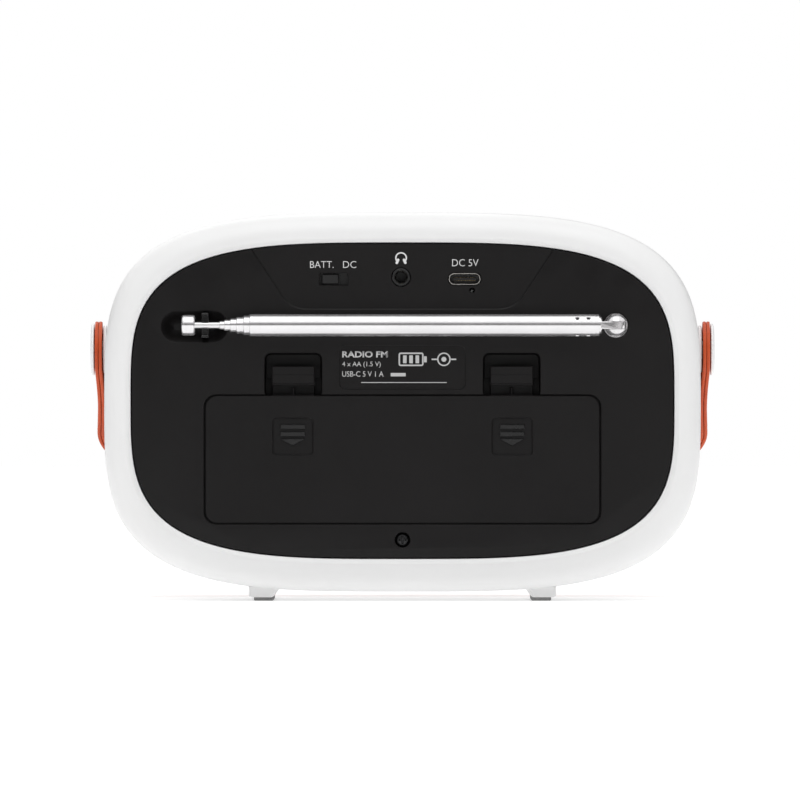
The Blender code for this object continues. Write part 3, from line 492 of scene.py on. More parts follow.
def lettering(name, words, centre, y, height, side="rear", width=None, bold=0.0):
    """Raised print, height tall for a capital, squeezed to width if that is given."""
    curve = bpy.data.curves.new(name, "FONT")
    curve.body = words
    curve.size = 1.0
    curve.offset = bold
    curve.align_x = "CENTER"
    curve.resolution_u = 3
    holder = bpy.data.objects.new(name, curve)
    bpy.context.scene.collection.objects.link(holder)
    graph = bpy.context.evaluated_depsgraph_get()
    mesh = bpy.data.meshes.new_from_object(holder.evaluated_get(graph))
    bpy.data.objects.remove(holder)
    xs = [v.co.x for v in mesh.vertices]
    ys = [v.co.y for v in mesh.vertices]
    scale_y = height / (max(ys) - min(ys))
    scale_x = width / (max(xs) - min(xs)) if width else scale_y
    middle = Vector(((max(xs) + min(xs)) / 2, (max(ys) + min(ys)) / 2, 0))
    mesh.transform(Matrix.Diagonal((scale_x, scale_y, 1, 1)) @ Matrix.Translation(-middle))
    work = bmesh.new()
    work.from_mesh(mesh)
    bmesh.ops.remove_doubles(work, verts=work.verts, dist=2e-6)
    lifted = bmesh.ops.extrude_face_region(work, geom=list(work.faces))
    raised = [v for v in lifted["geom"] if isinstance(v, bmesh.types.BMVert)]
    bmesh.ops.translate(work, verts=raised, vec=(0, 0, INK))
    bmesh.ops.recalc_face_normals(work, faces=work.faces)
    work.to_mesh(mesh)
    work.free()
    mesh.transform(Matrix.Translation((centre[0], y, centre[1])) @ READ_FROM[side])
    obj = bpy.data.objects.new(name, mesh)
    bpy.context.scene.collection.objects.link(obj)
    return obj


# ---------------------------------------------------------------- housing, feet and strap studs


def rim_section():
    """(outline, offset, y from the middle) round half of the ring's section, from its middle to its lip."""
    inset, depth = 6.1 * MM, 8.2 * MM
    points = [(housing_outline, 0.0, 0.0), (housing_outline, 0.0, 10 * MM)]
    for step in range(13):
        angle = math.pi / 2 * step / 12
        down = depth * (1 - math.sin(angle))
        points.append((housing_outline, -inset * (1 - math.cos(angle)), HALF_DEPTH - down))
    lip = ((1.62, 0.01), (1.45, 0.06), (0.50, 0.62), (0.34, 0.74), (0.30, 1.0), (0.30, 2.3), (1.60, 2.4))
    points += [(panel_outline, offset * MM, HALF_DEPTH - down * MM) for offset, down in lip]
    points.append((housing_outline, -4.5 * MM, HALF_DEPTH - 3.2 * MM))
    points.append((housing_outline, -2.4 * MM, HALF_DEPTH - 7 * MM))
    points.append((housing_outline, -2.4 * MM, 0.0))
    return points


def make_housing():
    half = rim_section()
    mirrored = [(outline, offset, -y) for outline, offset, y in reversed(half[1:-1])]
    rings = [at_y(outline(offset), HOUSING.y + y) for outline, offset, y in half + mirrored]
    shell = loft("housing_shell", rings, loop=True, smooth=50)
    dress(shell, "white", "cabinet", "white_plastic", "housing")


def make_skid(word, side):
    """A skid with a slanted inner flank, eased lower edges and its ends drawn in."""
    foot = Place("foot_" + word)
    inner, outer = sorted((abs(foot.low[0]), abs(foot.high[0])))
    base, top = foot.low[2], foot.high[2]
    rings = []
    for step in range(25):
        share = -1 + 2 * step / 24
        tuck = abs(share) ** 14 * 0.5 * MM
        flank = inner + 1.9 * MM + tuck
        edge = outer - tuck
        shape = [
            (flank, base + 0.15 * MM + tuck),
            (flank + 0.3 * MM, base),
            (edge - 0.7 * MM, base),
            (edge - 0.15 * MM, base + 0.25 * MM),
            (edge, base + 0.9 * MM),
            (edge, top + 0.15 * MM),
            (outer - 4 * MM, top - 0.1 * MM),
            (inner + 0.2 * MM + tuck, top - 0.45 * MM),
        ]
        rings.append([(side * x, foot.y + foot.depth / 2 * share, z) for x, z in shape])
    skid = loft("skid_" + word, rings, smooth=40)
    # The skids take a lighter copy of the housing's white, painted light standing in for the light on the
    # feet.
    dress(skid, "skid_white_painted_light", "cabinet", "white_plastic", "foot_" + word)


def make_feet():
    for word, side in SIDES:
        make_skid(word, side)
        pad = Place("foot_pad_" + word)
        outline = rounded((pad.x, pad.y), pad.width, pad.depth, 1.6 * MM)
        levels = ((pad.low[2], -0.25 * MM), (pad.low[2] + 0.25 * MM, 0), (pad.high[2], 0))
        rings = [[(u, v, z) for u, v in outline(offset)] for z, offset in levels]
        dress(loft("rubber_pad_" + word, rings), "rubber", "cabinet", "rubber", "foot_pad_" + word)


def make_studs():
    """The caps that the strap turns on, and the collars between it and the housing."""
    for word, side in SIDES:
        axis = "X" if side > 0 else "-X"
        stud = Place("strap_stud_" + word)
        centre = (0, stud.y, stud.z)
        tip = max(abs(stud.low[0]), abs(stud.high[0]))
        cap, pin_end, pin = tip - 1.05 * MM, tip - 8.05 * MM, 2.5 * MM
        radius = stud.radius
        profile = [(0, tip), (2.6 * MM, tip - 0.01 * MM), (radius - 1.6 * MM, tip - 0.12 * MM)]
        profile += round_over(radius, cap + 0.8 * MM, 0.6 * MM)
        profile += [(radius, cap + 0.1 * MM), (radius - 0.1 * MM, cap)]
        profile += [(pin, cap), (pin, pin_end), (0, pin_end)]
        stud_cap = lathe("stud_cap_" + word, profile, centre, axis)
        dress(stud_cap, "white", "cabinet", "white_plastic", "strap_stud_" + word)
        boss = Place("strap_boss_" + word)
        face = max(abs(boss.low[0]), abs(boss.high[0]))
        bore, hub, hub_end = 2.8 * MM, 4.0 * MM, face - 5.6 * MM
        radius = boss.radius
        profile = [
            (bore, face),
            (radius - 0.3 * MM, face),
            (radius, face - 0.25 * MM),
            (radius, face - 0.9 * MM),
            (radius - 0.4 * MM, face - 0.6 * MM),
            (hub, face - 0.75 * MM),
            (hub, hub_end),
            (bore, hub_end),
        ]
        collar = lathe("collar_" + word, profile, centre, axis, loop=True)
        dress(collar, "white", "cabinet", "white_plastic", "strap_boss_" + word)


# ---------------------------------------------------------------- rear panel and door

LATCH_X = 30.6 * MM
ARROW_X = 30.75 * MM
DOOR_TOP = 57.6 * MM
TUB_HEIGHT = 35.7 * MM
NOTCH_WIDTH = 16.1 * MM
NOTCH_BASE = 57.9 * MM
NOTCH_TOP = 69.6 * MM
SCOOP = (58.25 * MM, 76.95 * MM)
PHONES = (0.4 * MM, 90.8 * MM)
SCREW = (0, 17.2 * MM)
TUB_BACK = sunk(18)
SLAB_BACK = sunk(3.6)
FIELD = sunk(0.4)

# Depth below a panel's face and offset from its outline, from the slab's back to the eased edge at the face.
COVER_EDGE = ((3.6, -0.2), (0.35, 0), (0.08, -0.1), (0, -0.4))

# Depth below the face and offset from the scoop's outline, from just above its mouth to its floor.
SCOOP_WALL = (
    (-0.15, 0.3),
    (0.12, 0),
    (0.5, -0.3),
    (1.1, -0.75),
    (1.9, -1.3),
    (2.8, -1.9),
    (3.6, -2.6),
    (4.1, -3.4),
)


def cover(name, face, inward):
    """A panel's slab behind its face."""
    rings = [at_y(panel_outline(offset * MM), face + inward * depth * MM) for depth, offset in COVER_EDGE]
    return loft(name, rings)


def jack_field(offset=0.0):
    """Outline of the sunk field round the sockets, opening out to the panel's top edge."""
    low = 82.0 * MM - offset
    start = Vector((26.5 * MM + offset * 0.4, low))
    bend = Vector((31.8 * MM + offset, low))
    end = Vector((34.0 * MM + offset, 86.3 * MM))
    half = []
    for step in range(9):
        share = step / 8
        half.append(tuple(start * (1 - share) ** 2 + bend * (2 * share * (1 - share)) + end * share**2))
    half.append((43.5 * MM + offset, 100.6 * MM))
    half.append((43.5 * MM + offset, 110 * MM))
    return half + [(-x, z) for x, z in reversed(half)]


def door_pockets():
    """The door's seat, the cells' space behind it and the two latch notches."""
    middle = (0, (DOOR.low[2] + DOOR_TOP) / 2)
    seat = rounded(middle, 2 * (DOOR.high[0] + 0.45 * MM), TUB_HEIGHT + 0.7 * MM, 3.5 * MM)
    cells = rounded(middle, 108 * MM, TUB_HEIGHT - 3.2 * MM, 2 * MM)
    cuts = [pocket(seat, PANEL_FACE, sunk(2.3), 0.12 * MM, 0.05 * MM)]
    cuts.append(pocket(cells, sunk(1), TUB_BACK, 0.02 * MM, 0.5 * MM))
    for side in (-1, 1):
        x = side * LATCH_X
        notch_z = (NOTCH_BASE + NOTCH_TOP) / 2 - 0.4 * MM
        notch = rounded((x, notch_z), NOTCH_WIDTH, NOTCH_TOP - NOTCH_BASE + 0.8 * MM, 1.8 * MM)
        deep = rounded((x, 59.8 * MM), NOTCH_WIDTH - 0.3 * MM, 5.4 * MM, 0.5 * MM)
        cuts.append(pocket(notch, PANEL_FACE, sunk(6.4), 0.15 * MM, 0.5 * MM))
        cuts.append(pocket(deep, sunk(1), sunk(7.6), 0.02 * MM, 0.1 * MM))
    return cuts


def face_pockets():
    """The sunk field, the label, the finger scoop, and the holes for sockets, antenna and screw."""
    label = rounded((0.0, 65.5 * MM), 35.1 * MM, 12.2 * MM, 1.7 * MM)
    scoop = rounded(SCOOP, 18.7 * MM, 8.7 * MM, 4.34 * MM, 12)
    rings = [at_y(scoop(offset * MM), sunk(depth)) for depth, offset in SCOOP_WALL]
    cuts = [
        pocket(jack_field, PANEL_FACE, FIELD, 0.34 * MM, 0.02 * MM),
        pocket(label, PANEL_FACE, sunk(0.45), 0.24 * MM, 0.05 * MM),
        loft("cutter", rings, smooth=60),
        pocket(circle(PIN.face, 3.45 * MM), PANEL_FACE, TUB_BACK, 0.15 * MM),
    ]
    holes = (
        (rounded((19.3 * MM, 90.2 * MM), 8.1 * MM, 3.5 * MM, 0.3 * MM, 3), 0.1),
        (circle(PHONES, 2.7 * MM), 0.12),
        (rounded((-17.4 * MM, 90.3 * MM), 9.3 * MM, 3.6 * MM, 1.78 * MM), 0.15),
        (circle((-19.5 * MM, 87.1 * MM), 0.75 * MM, 24), 0.1),
    )
    cuts += [pocket(outline, FIELD, SLAB_BACK - 2 * MM, chamfer * MM) for outline, chamfer in holes]
    cuts.append(pocket(circle(SCREW, 2.15 * MM), PANEL_FACE, sunk(1.9), 0.15 * MM))
    return cuts


def make_rear_panel():
    panel = cover("rear_cover", PANEL_FACE, -1)
    behind = SLAB_BACK + 1 * MM
    tub_z = (DOOR.low[2] + 0.1 * MM, DOOR_TOP - 0.1 * MM)
    tubs = [piece(around(0, DOOR.high[0] + 0.6 * MM), (TUB_BACK - 1.5 * MM, behind), tub_z)]
    for side in (-1, 1):
        x = around(side * LATCH_X, NOTCH_WIDTH / 2 + 1.5 * MM)
        tubs.append(piece(x, (sunk(9), behind), (NOTCH_BASE - 1.6 * MM, NOTCH_TOP + 1.5 * MM)))
    tubs.append(piece(around(SCOOP[0], 10.8 * MM), (sunk(6), behind), around(SCOOP[1], 5.8 * MM)))
    join(panel, *tubs)
    cut(panel, *door_pockets(), *face_pockets())
    dress(panel, "black", "cabinet", "black_plastic", "rear_panel")


def arrow(x, z, low, high):
    """A raised triangle that points down, its edges sloped."""
    rings = []
    for y, shrink in ((low, 0.0), (high - 0.18 * MM, 0.0), (high, 0.18 * MM)):
        half = 3.45 * MM - 2 * shrink
        top = z + 0.95 * MM - shrink
        rings.append([(x - half, y, top), (x + half, y, top), (x, y, z - 1.15 * MM + 1.3 * shrink)])
    return loft("piece", rings)


def make_door():
    back = DOOR.low[1]
    height = DOOR_TOP - DOOR.low[2]
    outline = rounded((0, DOOR.low[2] + height / 2), 2 * DOOR.high[0], height, 3.4 * MM)
    door = slab("battery_cover", outline, sunk(2), PANEL_FACE, 0.18 * MM)
    legs, squares, marks = [], [], []
    floor, crest = sunk(0.8), sunk(0.1)
    for side in (-1, 1):
        leg = around(side * LATCH_X, 6 * MM)
        rib = around(side * LATCH_X, 0.35 * MM)
        legs.append(piece(leg, (back + 0.02 * MM, sunk(1.2)), (DOOR_TOP - 1.2 * MM, DOOR_TOP + 0.3 * MM)))
        legs.append(piece(leg, (back + 0.02 * MM, back + 1.1 * MM), (DOOR_TOP - 0.7 * MM, DOOR.high[2])))
        legs.append(piece(rib, (back + 0.3 * MM, sunk(2.4)), (DOOR_TOP - 0.5 * MM, DOOR_TOP + 2.4 * MM)))
        x = side * ARROW_X
        square = rounded((x, 46.15 * MM), 11.05 * MM, 10.3 * MM, 1 * MM)
        squares.append(pocket(square, PANEL_FACE, sunk(0.75), 0.34 * MM, 0.1 * MM))
        for z in (48.9 * MM, 46.85 * MM):
            bar = rounded((x, z), 6.9 * MM, 1.25 * MM, 0.15 * MM, 3)
            marks.append(slab("piece", bar, floor, crest, 0.18 * MM))
        marks.append(arrow(x, 44.6 * MM, floor, crest))
    join(door, *legs)
    cut(door, *squares)
    dress(merged("door_arrows", marks), "black_smooth", "battery_door", "black_plastic")
    dress(door, "black", "battery_door", "black_plastic", "battery_door")


def make_latches():
    for word, _ in SIDES:
        latch = Place("latch_" + word)
        low, high = latch.low, latch.high
        face = high[1]
        tab = box("release_tab_" + word, low, (high[0], face - 0.5 * MM, low[2] + 1.2 * MM))
        plate = piece((low[0], high[0]), (face - 1.25 * MM, face), (low[2] + 0.5 * MM, high[2]), 0.25 * MM)
        grip = rounded((latch.x, low[2] + 3 * MM), latch.width - 0.4 * MM, 0.5 * MM, 0.2 * MM, 3)
        join(tab, plate, slab("piece", grip, face - 0.5 * MM, face + 0.12 * MM, 0.1 * MM))
        dress(tab, "black", "latch_" + word, "black_plastic", "latch_" + word)


def make_panel_screw():
    screw_box = Place("rear_panel_screw")
    head = screw_box.high[1] - 0.35 * MM
    foot = screw_box.low[1]
    radius = screw_box.width / 2
    profile = round_over(radius, head, radius, 7, 0.7 * MM)
    profile += [(radius, head - 1 * MM), (1 * MM, head - 1 * MM), (1 * MM, foot + 0.6 * MM), (0, foot)]
    screw = lathe("cover_screw", profile, (screw_box.x, 0, screw_box.z), "Y", 48)
    for angle in (0, math.pi / 2):
        rings = []
        for y, u, v in ((head + 0.3 * MM, 1.25 * MM, 0.34 * MM), (head - 0.8 * MM, 0.8 * MM, 0.22 * MM)):
            arm = turned(((-u, -v), (u, -v), (u, v), (-u, v)), angle, screw_box.face)
            rings.append(at_y(arm, y))
        cut(screw, loft("cutter", rings))
    dress(screw, "screw", "cabinet", "steel", "rear_panel_screw")


# ---------------------------------------------------------------- sockets, switch and print


def make_usb():
    inlet = Place("usb_c_shell")
    mouth = sunk(0.35)
    back = inlet.low[1]
    outline = inlet.outline(inlet.height / 2 - 0.01 * MM, steps=10)
    levels = (
        (mouth - 0.1 * MM, 0.0),
        (mouth, -0.1),
        (mouth, -0.22),
        (mouth - 0.12 * MM, -0.3),
        (back + 0.1 * MM, -0.3),
        (back + 0.1 * MM, 0.0),
    )
    shell = loft("usb_c_surround", [at_y(outline(offset * MM), y) for y, offset in levels], loop=True)
    dress(shell, "nickel", "cabinet", "steel", "usb_c_shell")
    plug = rounded(inlet.face, 8.2 * MM, 2.5 * MM, 1.2 * MM)
    blade = rounded(inlet.face, 6.7 * MM, 0.7 * MM, 0.3 * MM)
    tongue = slab("usb_c_insert", plug, back + 0.4 * MM, back + 1.8 * MM, 0.1 * MM)
    join(tongue, slab("piece", blade, back + 1 * MM, mouth - 0.7 * MM, 0.1 * MM))
    dress(tongue, "black_smooth", "cabinet", "black_plastic", "usb_c_tongue")
    contacts = []
    for side in (-1, 1):
        z = around(inlet.z + side * 0.37 * MM, 0.03 * MM)
        for index in range(12):
            x = around(inlet.x + (index - 5.5) * 0.5 * MM, 0.12 * MM)
            contacts.append(piece(x, (back + 2 * MM, mouth - 1.1 * MM), z, 0.01 * MM))
    dress(merged("usb_c_contacts", contacts), "gold", "cabinet", "steel")


def make_headphone_socket():
    jack = Place("headphone_socket")
    centre = (jack.x, 0, jack.z)
    face = sunk(0.35)
    # Radius and depth below the face: up the bore, over the ring round it, down the outside, and the back.
    barrel = (
        (1.75, 11),
        (1.75, 0.35),
        (1.85, 0.12),
        (2.0, 0),
        (2.32, 0),
        (2.5, 0.15),
        (2.55, 0.4),
        (2.55, 12),
        (0, 12),
        (0, 11),
    )
    profile = [(radius * MM, face - depth * MM) for radius, depth in barrel]
    socket = lathe("phones_barrel", profile, centre, loop=True)
    dress(socket, "black_smooth", "cabinet", "black_plastic", "headphone_socket")
    sleeve = ((1.45, 2.2), (1.72, 2.2), (1.72, 0.75), (1.6, 0.6), (1.45, 0.9))
    profile = [(radius * MM, face - depth * MM) for radius, depth in sleeve]
    dress(lathe("phones_sleeve", profile, centre, "Y", 48, loop=True), "nickel", "cabinet", "steel")


def make_slider():
    slider = Place("power_slider")
    back = slider.low[1]
    knob = rounded(slider.face, 4.9 * MM, 2.9 * MM, 0.3 * MM, 4)
    plate = rounded(slider.face, 10.4 * MM, 4.8 * MM, 0.3 * MM, 4)
    slide = slab("slide_knob", knob, back + 1 * MM, sunk(0.45), 0.36 * MM)
    join(slide, slab("piece", plate, back, back + 1.3 * MM, 0.1 * MM))
    dress(slide, "black_smooth", "power_slider", "black_plastic", "power_slider")


def headphone_icon(centre, size, y):
    """Print of a pair of headphones: an open band and two ear cups."""
    radius, half = size * 0.42, size * 0.055
    rings = []
    for step in range(33):
        angle = math.radians(-42 + 264 * step / 32)
        c, s = math.cos(angle), math.sin(angle)
        u, v = centre[0] + radius * c, centre[1] + radius * 0.98 * s
        inner, outer = (u - c * half, v - s * half), (u + c * half, v + s * half)
        low, high = at_y((inner, outer), y), at_y((outer, inner), y + INK)
        rings.append(low + high)
    pieces = [loft("piece", rings)]
    for side in (-1, 1):
        cup = rounded((0, 0), size * 0.21, size * 0.46, size * 0.1, 6)()
        place = (centre[0] + side * size * 0.29, centre[1] - size * 0.27)
        shape = turned(cup, side * math.radians(24), place)
        pieces.append(loft("piece", [at_y(shape, y), at_y(shape, y + INK + 0.002 * MM)]))
    return merged("phones_mark", pieces)


def printed_frame(outline, thickness, y):
    """A flat printed frame: the outline and a smaller copy of it."""
    levels = ((y, 0), (y + INK, 0), (y + INK, -thickness), (y, -thickness))
    return loft("piece", [at_y(outline(offset), level) for level, offset in levels], loop=True)


def printed(outline, y):
    return slab("piece", outline, y, y + INK, 0.005 * MM)


def printed_bar(x, z, width, height, y, radius=0.1):
    return printed(rounded((x, z), width * MM, height * MM, radius * MM, 2), y)


def battery_symbol(x, z, y):
    """Outline of a battery with three bars of charge."""
    parts = [printed_frame(rounded((x, z), 7.0 * MM, 3.8 * MM, 0.6 * MM, 4), 0.42 * MM, y)]
    parts.append(printed_bar(x - 4 * MM, z, 0.8, 1.7, y))
    parts += [printed_bar(x + step * 1.75 * MM, z, 1.0, 2.2, y) for step in (-1, 0, 1)]
    return merged("symbol", parts)


def polarity_symbol(x, z, y):
    """A ring round a dot, with a wire out to each side."""
    parts = [printed_frame(circle((x, z), 1.9 * MM, 40), 0.36 * MM, y)]
    parts.append(printed(circle((x, z), 0.7 * MM, 24), y))
    parts += [printed_bar(x + side * 2.7 * MM, z, 1.5, 0.4, y) for side in (-1, 1)]
    return merged("symbol", parts)


def make_print():
    marks = (
        ("mark_batt", "BATT.", (22.6 * MM, 94.35 * MM), 1.9 * MM, 6.6 * MM),
        ("mark_dc", "DC", (14.8 * MM, 94.35 * MM), 1.95 * MM, 3.7 * MM),
        ("mark_dc_5v", "DC 5V", (-17.6 * MM, 94.85 * MM), 2.0 * MM, 7.4 * MM),
    )
    for name, words, centre, height, width in marks:
        mark = lettering(name, words, centre, FIELD, height, "rear", width, -0.006)
        dress(mark, "ink", "cabinet", "white_plastic")
    icon = headphone_icon((PHONES[0], 96.2 * MM), 3.5 * MM, FIELD)
    dress(icon, "ink", "cabinet", "white_plastic")
    floor = sunk(0.45)
    label = (
        ("label_title", "RADIO FM", (10.5 * MM, 69.2 * MM), 1.8 * MM, 12.8 * MM, 0.03),
        ("label_cells", "4 x AA (1.5 V)", (11.5 * MM, 66.3 * MM), 1.75 * MM, 10.8 * MM, 0.004),
        ("label_inlet", "USB-C 5 V 1 A", (11.1 * MM, 63.7 * MM), 1.55 * MM, 11.6 * MM, 0.004),
    )
    for name, words, centre, height, width, bold in label:
        line = lettering(name, words, centre, floor, height, "rear", width, bold)
        dress(line, "ink_faint", "cabinet", "white_plastic")
    rules = [
        printed_bar(-0.4 * MM, 61.3 * MM, 24, 0.2, floor, 0.08),
        printed_bar(1.2 * MM, 63.5 * MM, 4.2, 0.95, floor),
    ]
    dress(merged("label_rules", rules), "ink_faint", "cabinet", "white_plastic")
    symbols = [battery_symbol(-2.4 * MM, 67.8 * MM, floor), polarity_symbol(-11.6 * MM, 67.8 * MM, floor)]
    dress(merged("label_symbols", symbols), "ink_faint", "cabinet", "white_plastic")


def make_led():
    led = Place("status_led")
    radius, foot = 0.6 * MM, led.low[1]
    profile = round_over(radius, led.high[1] - 0.4 * MM, radius, 6, 0.3 * MM) + [(radius, foot), (0, foot)]
    dress(lathe("led_lens", profile, (led.x, 0, led.z), "Y", 24), "led", "cabinet", "clear", "status_led")


# ---------------------------------------------------------------- antenna


def make_fork():
    """The swivelling ball, slotted for the tang and flattened above and below."""
    radius, flange = 3.15 * MM, 4.5 * MM
    base = Place("antenna_fork").low[1]
    top = PIN.y + 9 * MM
    profile = round_over(radius, PIN.y + radius, radius, 14)
    profile += [(radius, base + 1.8 * MM), (flange, base + 1.8 * MM), (flange, base), (0, base)]
    fork = lathe("swivel_ball", profile, (PIN.x, 0, PIN.z))
    cut(fork, piece(around(PIN.x, 10 * MM), (PIN.y - 3.2 * MM, top), around(PIN.z, 1.15 * MM), 0.05 * MM))
    flats = []
    for side in (-1, 1):
        z = around(PIN.z + side * 3.6 * MM, 0.75 * MM)
        flats.append(piece(around(PIN.x, 5 * MM), (PIN.y - 1.2 * MM, top), z, 0.05 * MM))
    cut(fork, *flats)
    dress(fork, "chrome", "antenna_swivel", "chrome", "antenna_fork")


def make_pivot_pin():
    half, bevel = 2.95 * MM, 0.15 * MM
    shape = ((0, half), (0.55, half), (0.75, half - bevel), (0.75, bevel - half), (0.55, -half), (0, -half))
    profile = [(radius * MM, PIN.z + height) for radius, height in shape]
    pin = lathe("swivel_pin", profile, (PIN.x, PIN.y, 0), "Z", 32)
    dress(pin, "steel", "antenna_swivel", "steel", "antenna_pivot_pin")


def make_knuckle():
    """Flat tang with softened edges, and the plug that the first tube is crimped onto."""
    tip = Place("antenna_knuckle").high[0]
    end = Place("antenna_tube_1").low[0] - 0.05 * MM
    radius = 2.75 * MM
    outline = []
    for step in range(25):
        angle = math.pi / 2 + math.pi * step / 24
        outline.append((PIN.x + radius * math.cos(angle), PIN.y + radius * math.sin(angle)))
    outline += [(end, PIN.y - 2.3 * MM), (end, PIN.y + 2.3 * MM)]
    middle = sum(u for u, _ in outline) / len(outline)
    rings = []
    for z, shrink in ((-1.0, 0.95), (-0.85, 1), (0.85, 1), (1.0, 0.95)):
        along = (shrink + 1) / 2
        flat = [(middle + (u - middle) * along, PIN.y + (v - PIN.y) * shrink) for u, v in outline]
        rings.append([(u, v, PIN.z + z * MM) for u, v in flat])
    tang = loft("swivel_tang", rings)
    plug, back = 2.45 * MM, end - 0.7 * MM
    profile = [(0, back), (2.2 * MM, back), (plug, end - 0.4 * MM), (plug, tip - 0.3 * MM), (0, tip)]
    join(tang, lathe("piece", profile, ANTENNA_LINE, "X", 48))
    dress(tang, "chrome", "antenna_arm", "chrome", "antenna_knuckle")


def crimp_dimples(radius):
    """Balls that press the crimp's dimples into the first tube near its root."""
    reach = radius + 0.42 * MM
    balls = []
    for x in (-48.9 * MM, -52.0 * MM):
        for degrees in (39, -67, 165):
            angle = math.radians(degrees)
            centre = (x, PIN.y + reach * math.cos(angle), PIN.z + reach * math.sin(angle))
            balls.append(ball("cutter", centre, 0.78 * MM))
    return balls


def ball(name, centre, radius):
    turn = [math.pi * step / 12 for step in range(13)]
    profile = [(radius * math.sin(angle), radius * math.cos(angle)) for angle in turn]
    return lathe(name, profile, centre, "Z", 20, smooth=60)


def make_tube(index):
    """One section: a thin wall with a rolled outer end that keeps the next section in."""
    name = f"antenna_tube_{index}"
    tube_box = Place(name)
    start, end = tube_box.low[0], tube_box.high[0]
    radius = tube_box.radius
    hollow = radius - 0.2 * MM
    following = f"antenna_tube_{index + 1}" if index < 6 else "antenna_rod"
    mouth = Place(following).radius + 0.05 * MM
    roll = min(0.35 * MM, (radius - mouth) * 0.9)
    crimp = (1.0, 0.9, 0.8) if index == 1 else (0.2, 0.1, 0.05)
    profile = [(mouth, end), (mouth + roll * 0.25, end)]
    profile += round_over(radius, end, roll, 5)[1:]
    profile += [
        (radius, end - 1.1 * MM),
        (radius - 0.03 * MM, end - 1.2 * MM),
        (radius, end - 1.3 * MM),
        (radius, start + crimp[0] * MM),
        (radius - 0.06 * MM, start + crimp[1] * MM),
        (radius - 0.02 * MM, start + crimp[2] * MM),
        (radius - 0.05 * MM, start),
        (hollow, start),
        (hollow, end - 2.2 * MM),
        (mouth, end - 1.8 * MM),
    ]
    tube = lathe(f"section_{index}", profile, ANTENNA_LINE, "X", 56, loop=True)
    if index == 1:
        cut(tube, *crimp_dimples(radius))
    body = "antenna_arm" if index == 1 else f"antenna_section_{index}"
    dress(tube, "chrome", body, "chrome", name)


def make_rod():
    rod = Place("antenna_rod")
    start, end = rod.low[0], rod.high[0]
    profile = [(0, start), (rod.radius, start), (rod.radius, end), (0, end)]
    rod_piece = lathe("inner_rod", profile, ANTENNA_LINE, "X", 40)
    dress(rod_piece, "chrome", "antenna_rod", "chrome", "antenna_rod")
    tip = Place("antenna_tip")
    start, end = tip.low[0], tip.high[0]
    radius, bore, floor = tip.radius, 0.98 * MM, end - 0.9 * MM
    profile = [(0, end), (radius - 2.2 * MM, end)]
    profile += round_over(radius, end, 0.75 * MM, 7)
    profile += [
        (radius, start + 0.45 * MM),
        (radius - 0.12 * MM, start + 0.3 * MM),
        (radius - 0.02 * MM, start + 0.18 * MM),
        (radius - 0.2 * MM, start),
        (1.35 * MM, start),
        (1.3 * MM, start + 0.2 * MM),
        (bore, start + 0.25 * MM),
        (bore, floor),
        (0, floor),
    ]
    dress(lathe("tip_cap", profile, ANTENNA_LINE, "X", 64), "chrome", "antenna_rod", "chrome", "antenna_tip")


def make_antenna():
    make_fork()
    make_pivot_pin()
    make_knuckle()
    for index in range(1, 7):
        make_tube(index)
    make_rod()


def make_clip():
    """Cradle for the folded antenna: two arms, and grip ribs on the floor between them."""
    low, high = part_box("antenna_clip")
    across, root = (low[0], high[0]), low[1] + 0.6 * MM
    inner, outer = 2.78 * MM, high[2] - PIN.z
    cradle = box("rod_cradle", low, (high[0], low[1] + 1.2 * MM, high[2]))
    pieces = []
    for side in (-1, 1):
        arm = sorted((PIN.z + side * inner, PIN.z + side * outer))
        block = sorted((PIN.z + side * 1 * MM, PIN.z + side * (inner + 0.1 * MM)))
        pieces.append(piece(across, (root, high[1]), arm, 0.12 * MM))
        pieces.append(piece(across, (root, PIN.y - 3.3 * MM), block))
        for step in range(3):
            z = around(PIN.z + side * (1.2 + 0.68 * step) * MM, 0.16 * MM)
            pieces.append(piece(across, (low[1] + 1.5 * MM, PIN.y - 2.8 * MM), z, 0.1 * MM))
    join(cradle, *pieces)
    dress(cradle, "black_smooth", "cabinet", "black_plastic", "antenna_clip")


# ---------------------------------------------------------------- strap

STRAP_ANGLE = math.radians(36)
STRAP_STRAIGHT = 30 * MM
STRAP_BEND = 38 * MM
STRAP_HALF_WIDTH = 8 * MM
STRAP_X = 85.95 * MM
STRAP_ARM = 0.32  # share of each half that its straight takes
SEAM_DEPTH = 0.07 * MM


def strap_middle(share):
    """(x, reach, outward direction in the strap's plane) at share 0..1 from the left stud to the right."""
    side = -1 if share < 0.5 else 1
    half = 1 - abs(2 * share - 1)
    if half < STRAP_ARM:
        along = half / STRAP_ARM
        wave = 0.45 * MM * math.sin(math.pi * along)
        return (side * (STRAP_X - wave), STRAP_STRAIGHT * along, (side, 0.0))
    angle = math.pi / 2 * (half - STRAP_ARM) / (1 - STRAP_ARM)
    x = STRAP_X * math.cos(angle)
    bend = STRAP_BEND * math.sin(angle)
    out = Vector((x / STRAP_X**2, bend / STRAP_BEND**2)).normalized()
    return (side * x, STRAP_STRAIGHT + bend, (side * out[0], out[1]))


def strap_point(x, reach, across):
    """From the strap's own plane to the radio's frame."""
    y = STUD.y - reach * math.cos(STRAP_ANGLE) + across * math.sin(STRAP_ANGLE)
    z = STUD.z - reach * math.sin(STRAP_ANGLE) - across * math.cos(STRAP_ANGLE)
    return (x, y, z)


def seam_points(face, sink, order, width):
    """One face of a layer's section, sunk a little at its two seams."""
    seam, slope = width - 1.9 * MM, 0.45 * MM
    shape = [(seam + slope, 0), (seam, sink), (seam - slope, 0), (0, 0)]
    shape += [(-across, drop) for across, drop in reversed(shape[:3])]
    narrow = 1 if width > 4 * MM else width / (8 * MM)
    shrink = order * narrow * min(1, width / STRAP_HALF_WIDTH)
    return [(across * shrink, face + drop) for across, drop in shape]


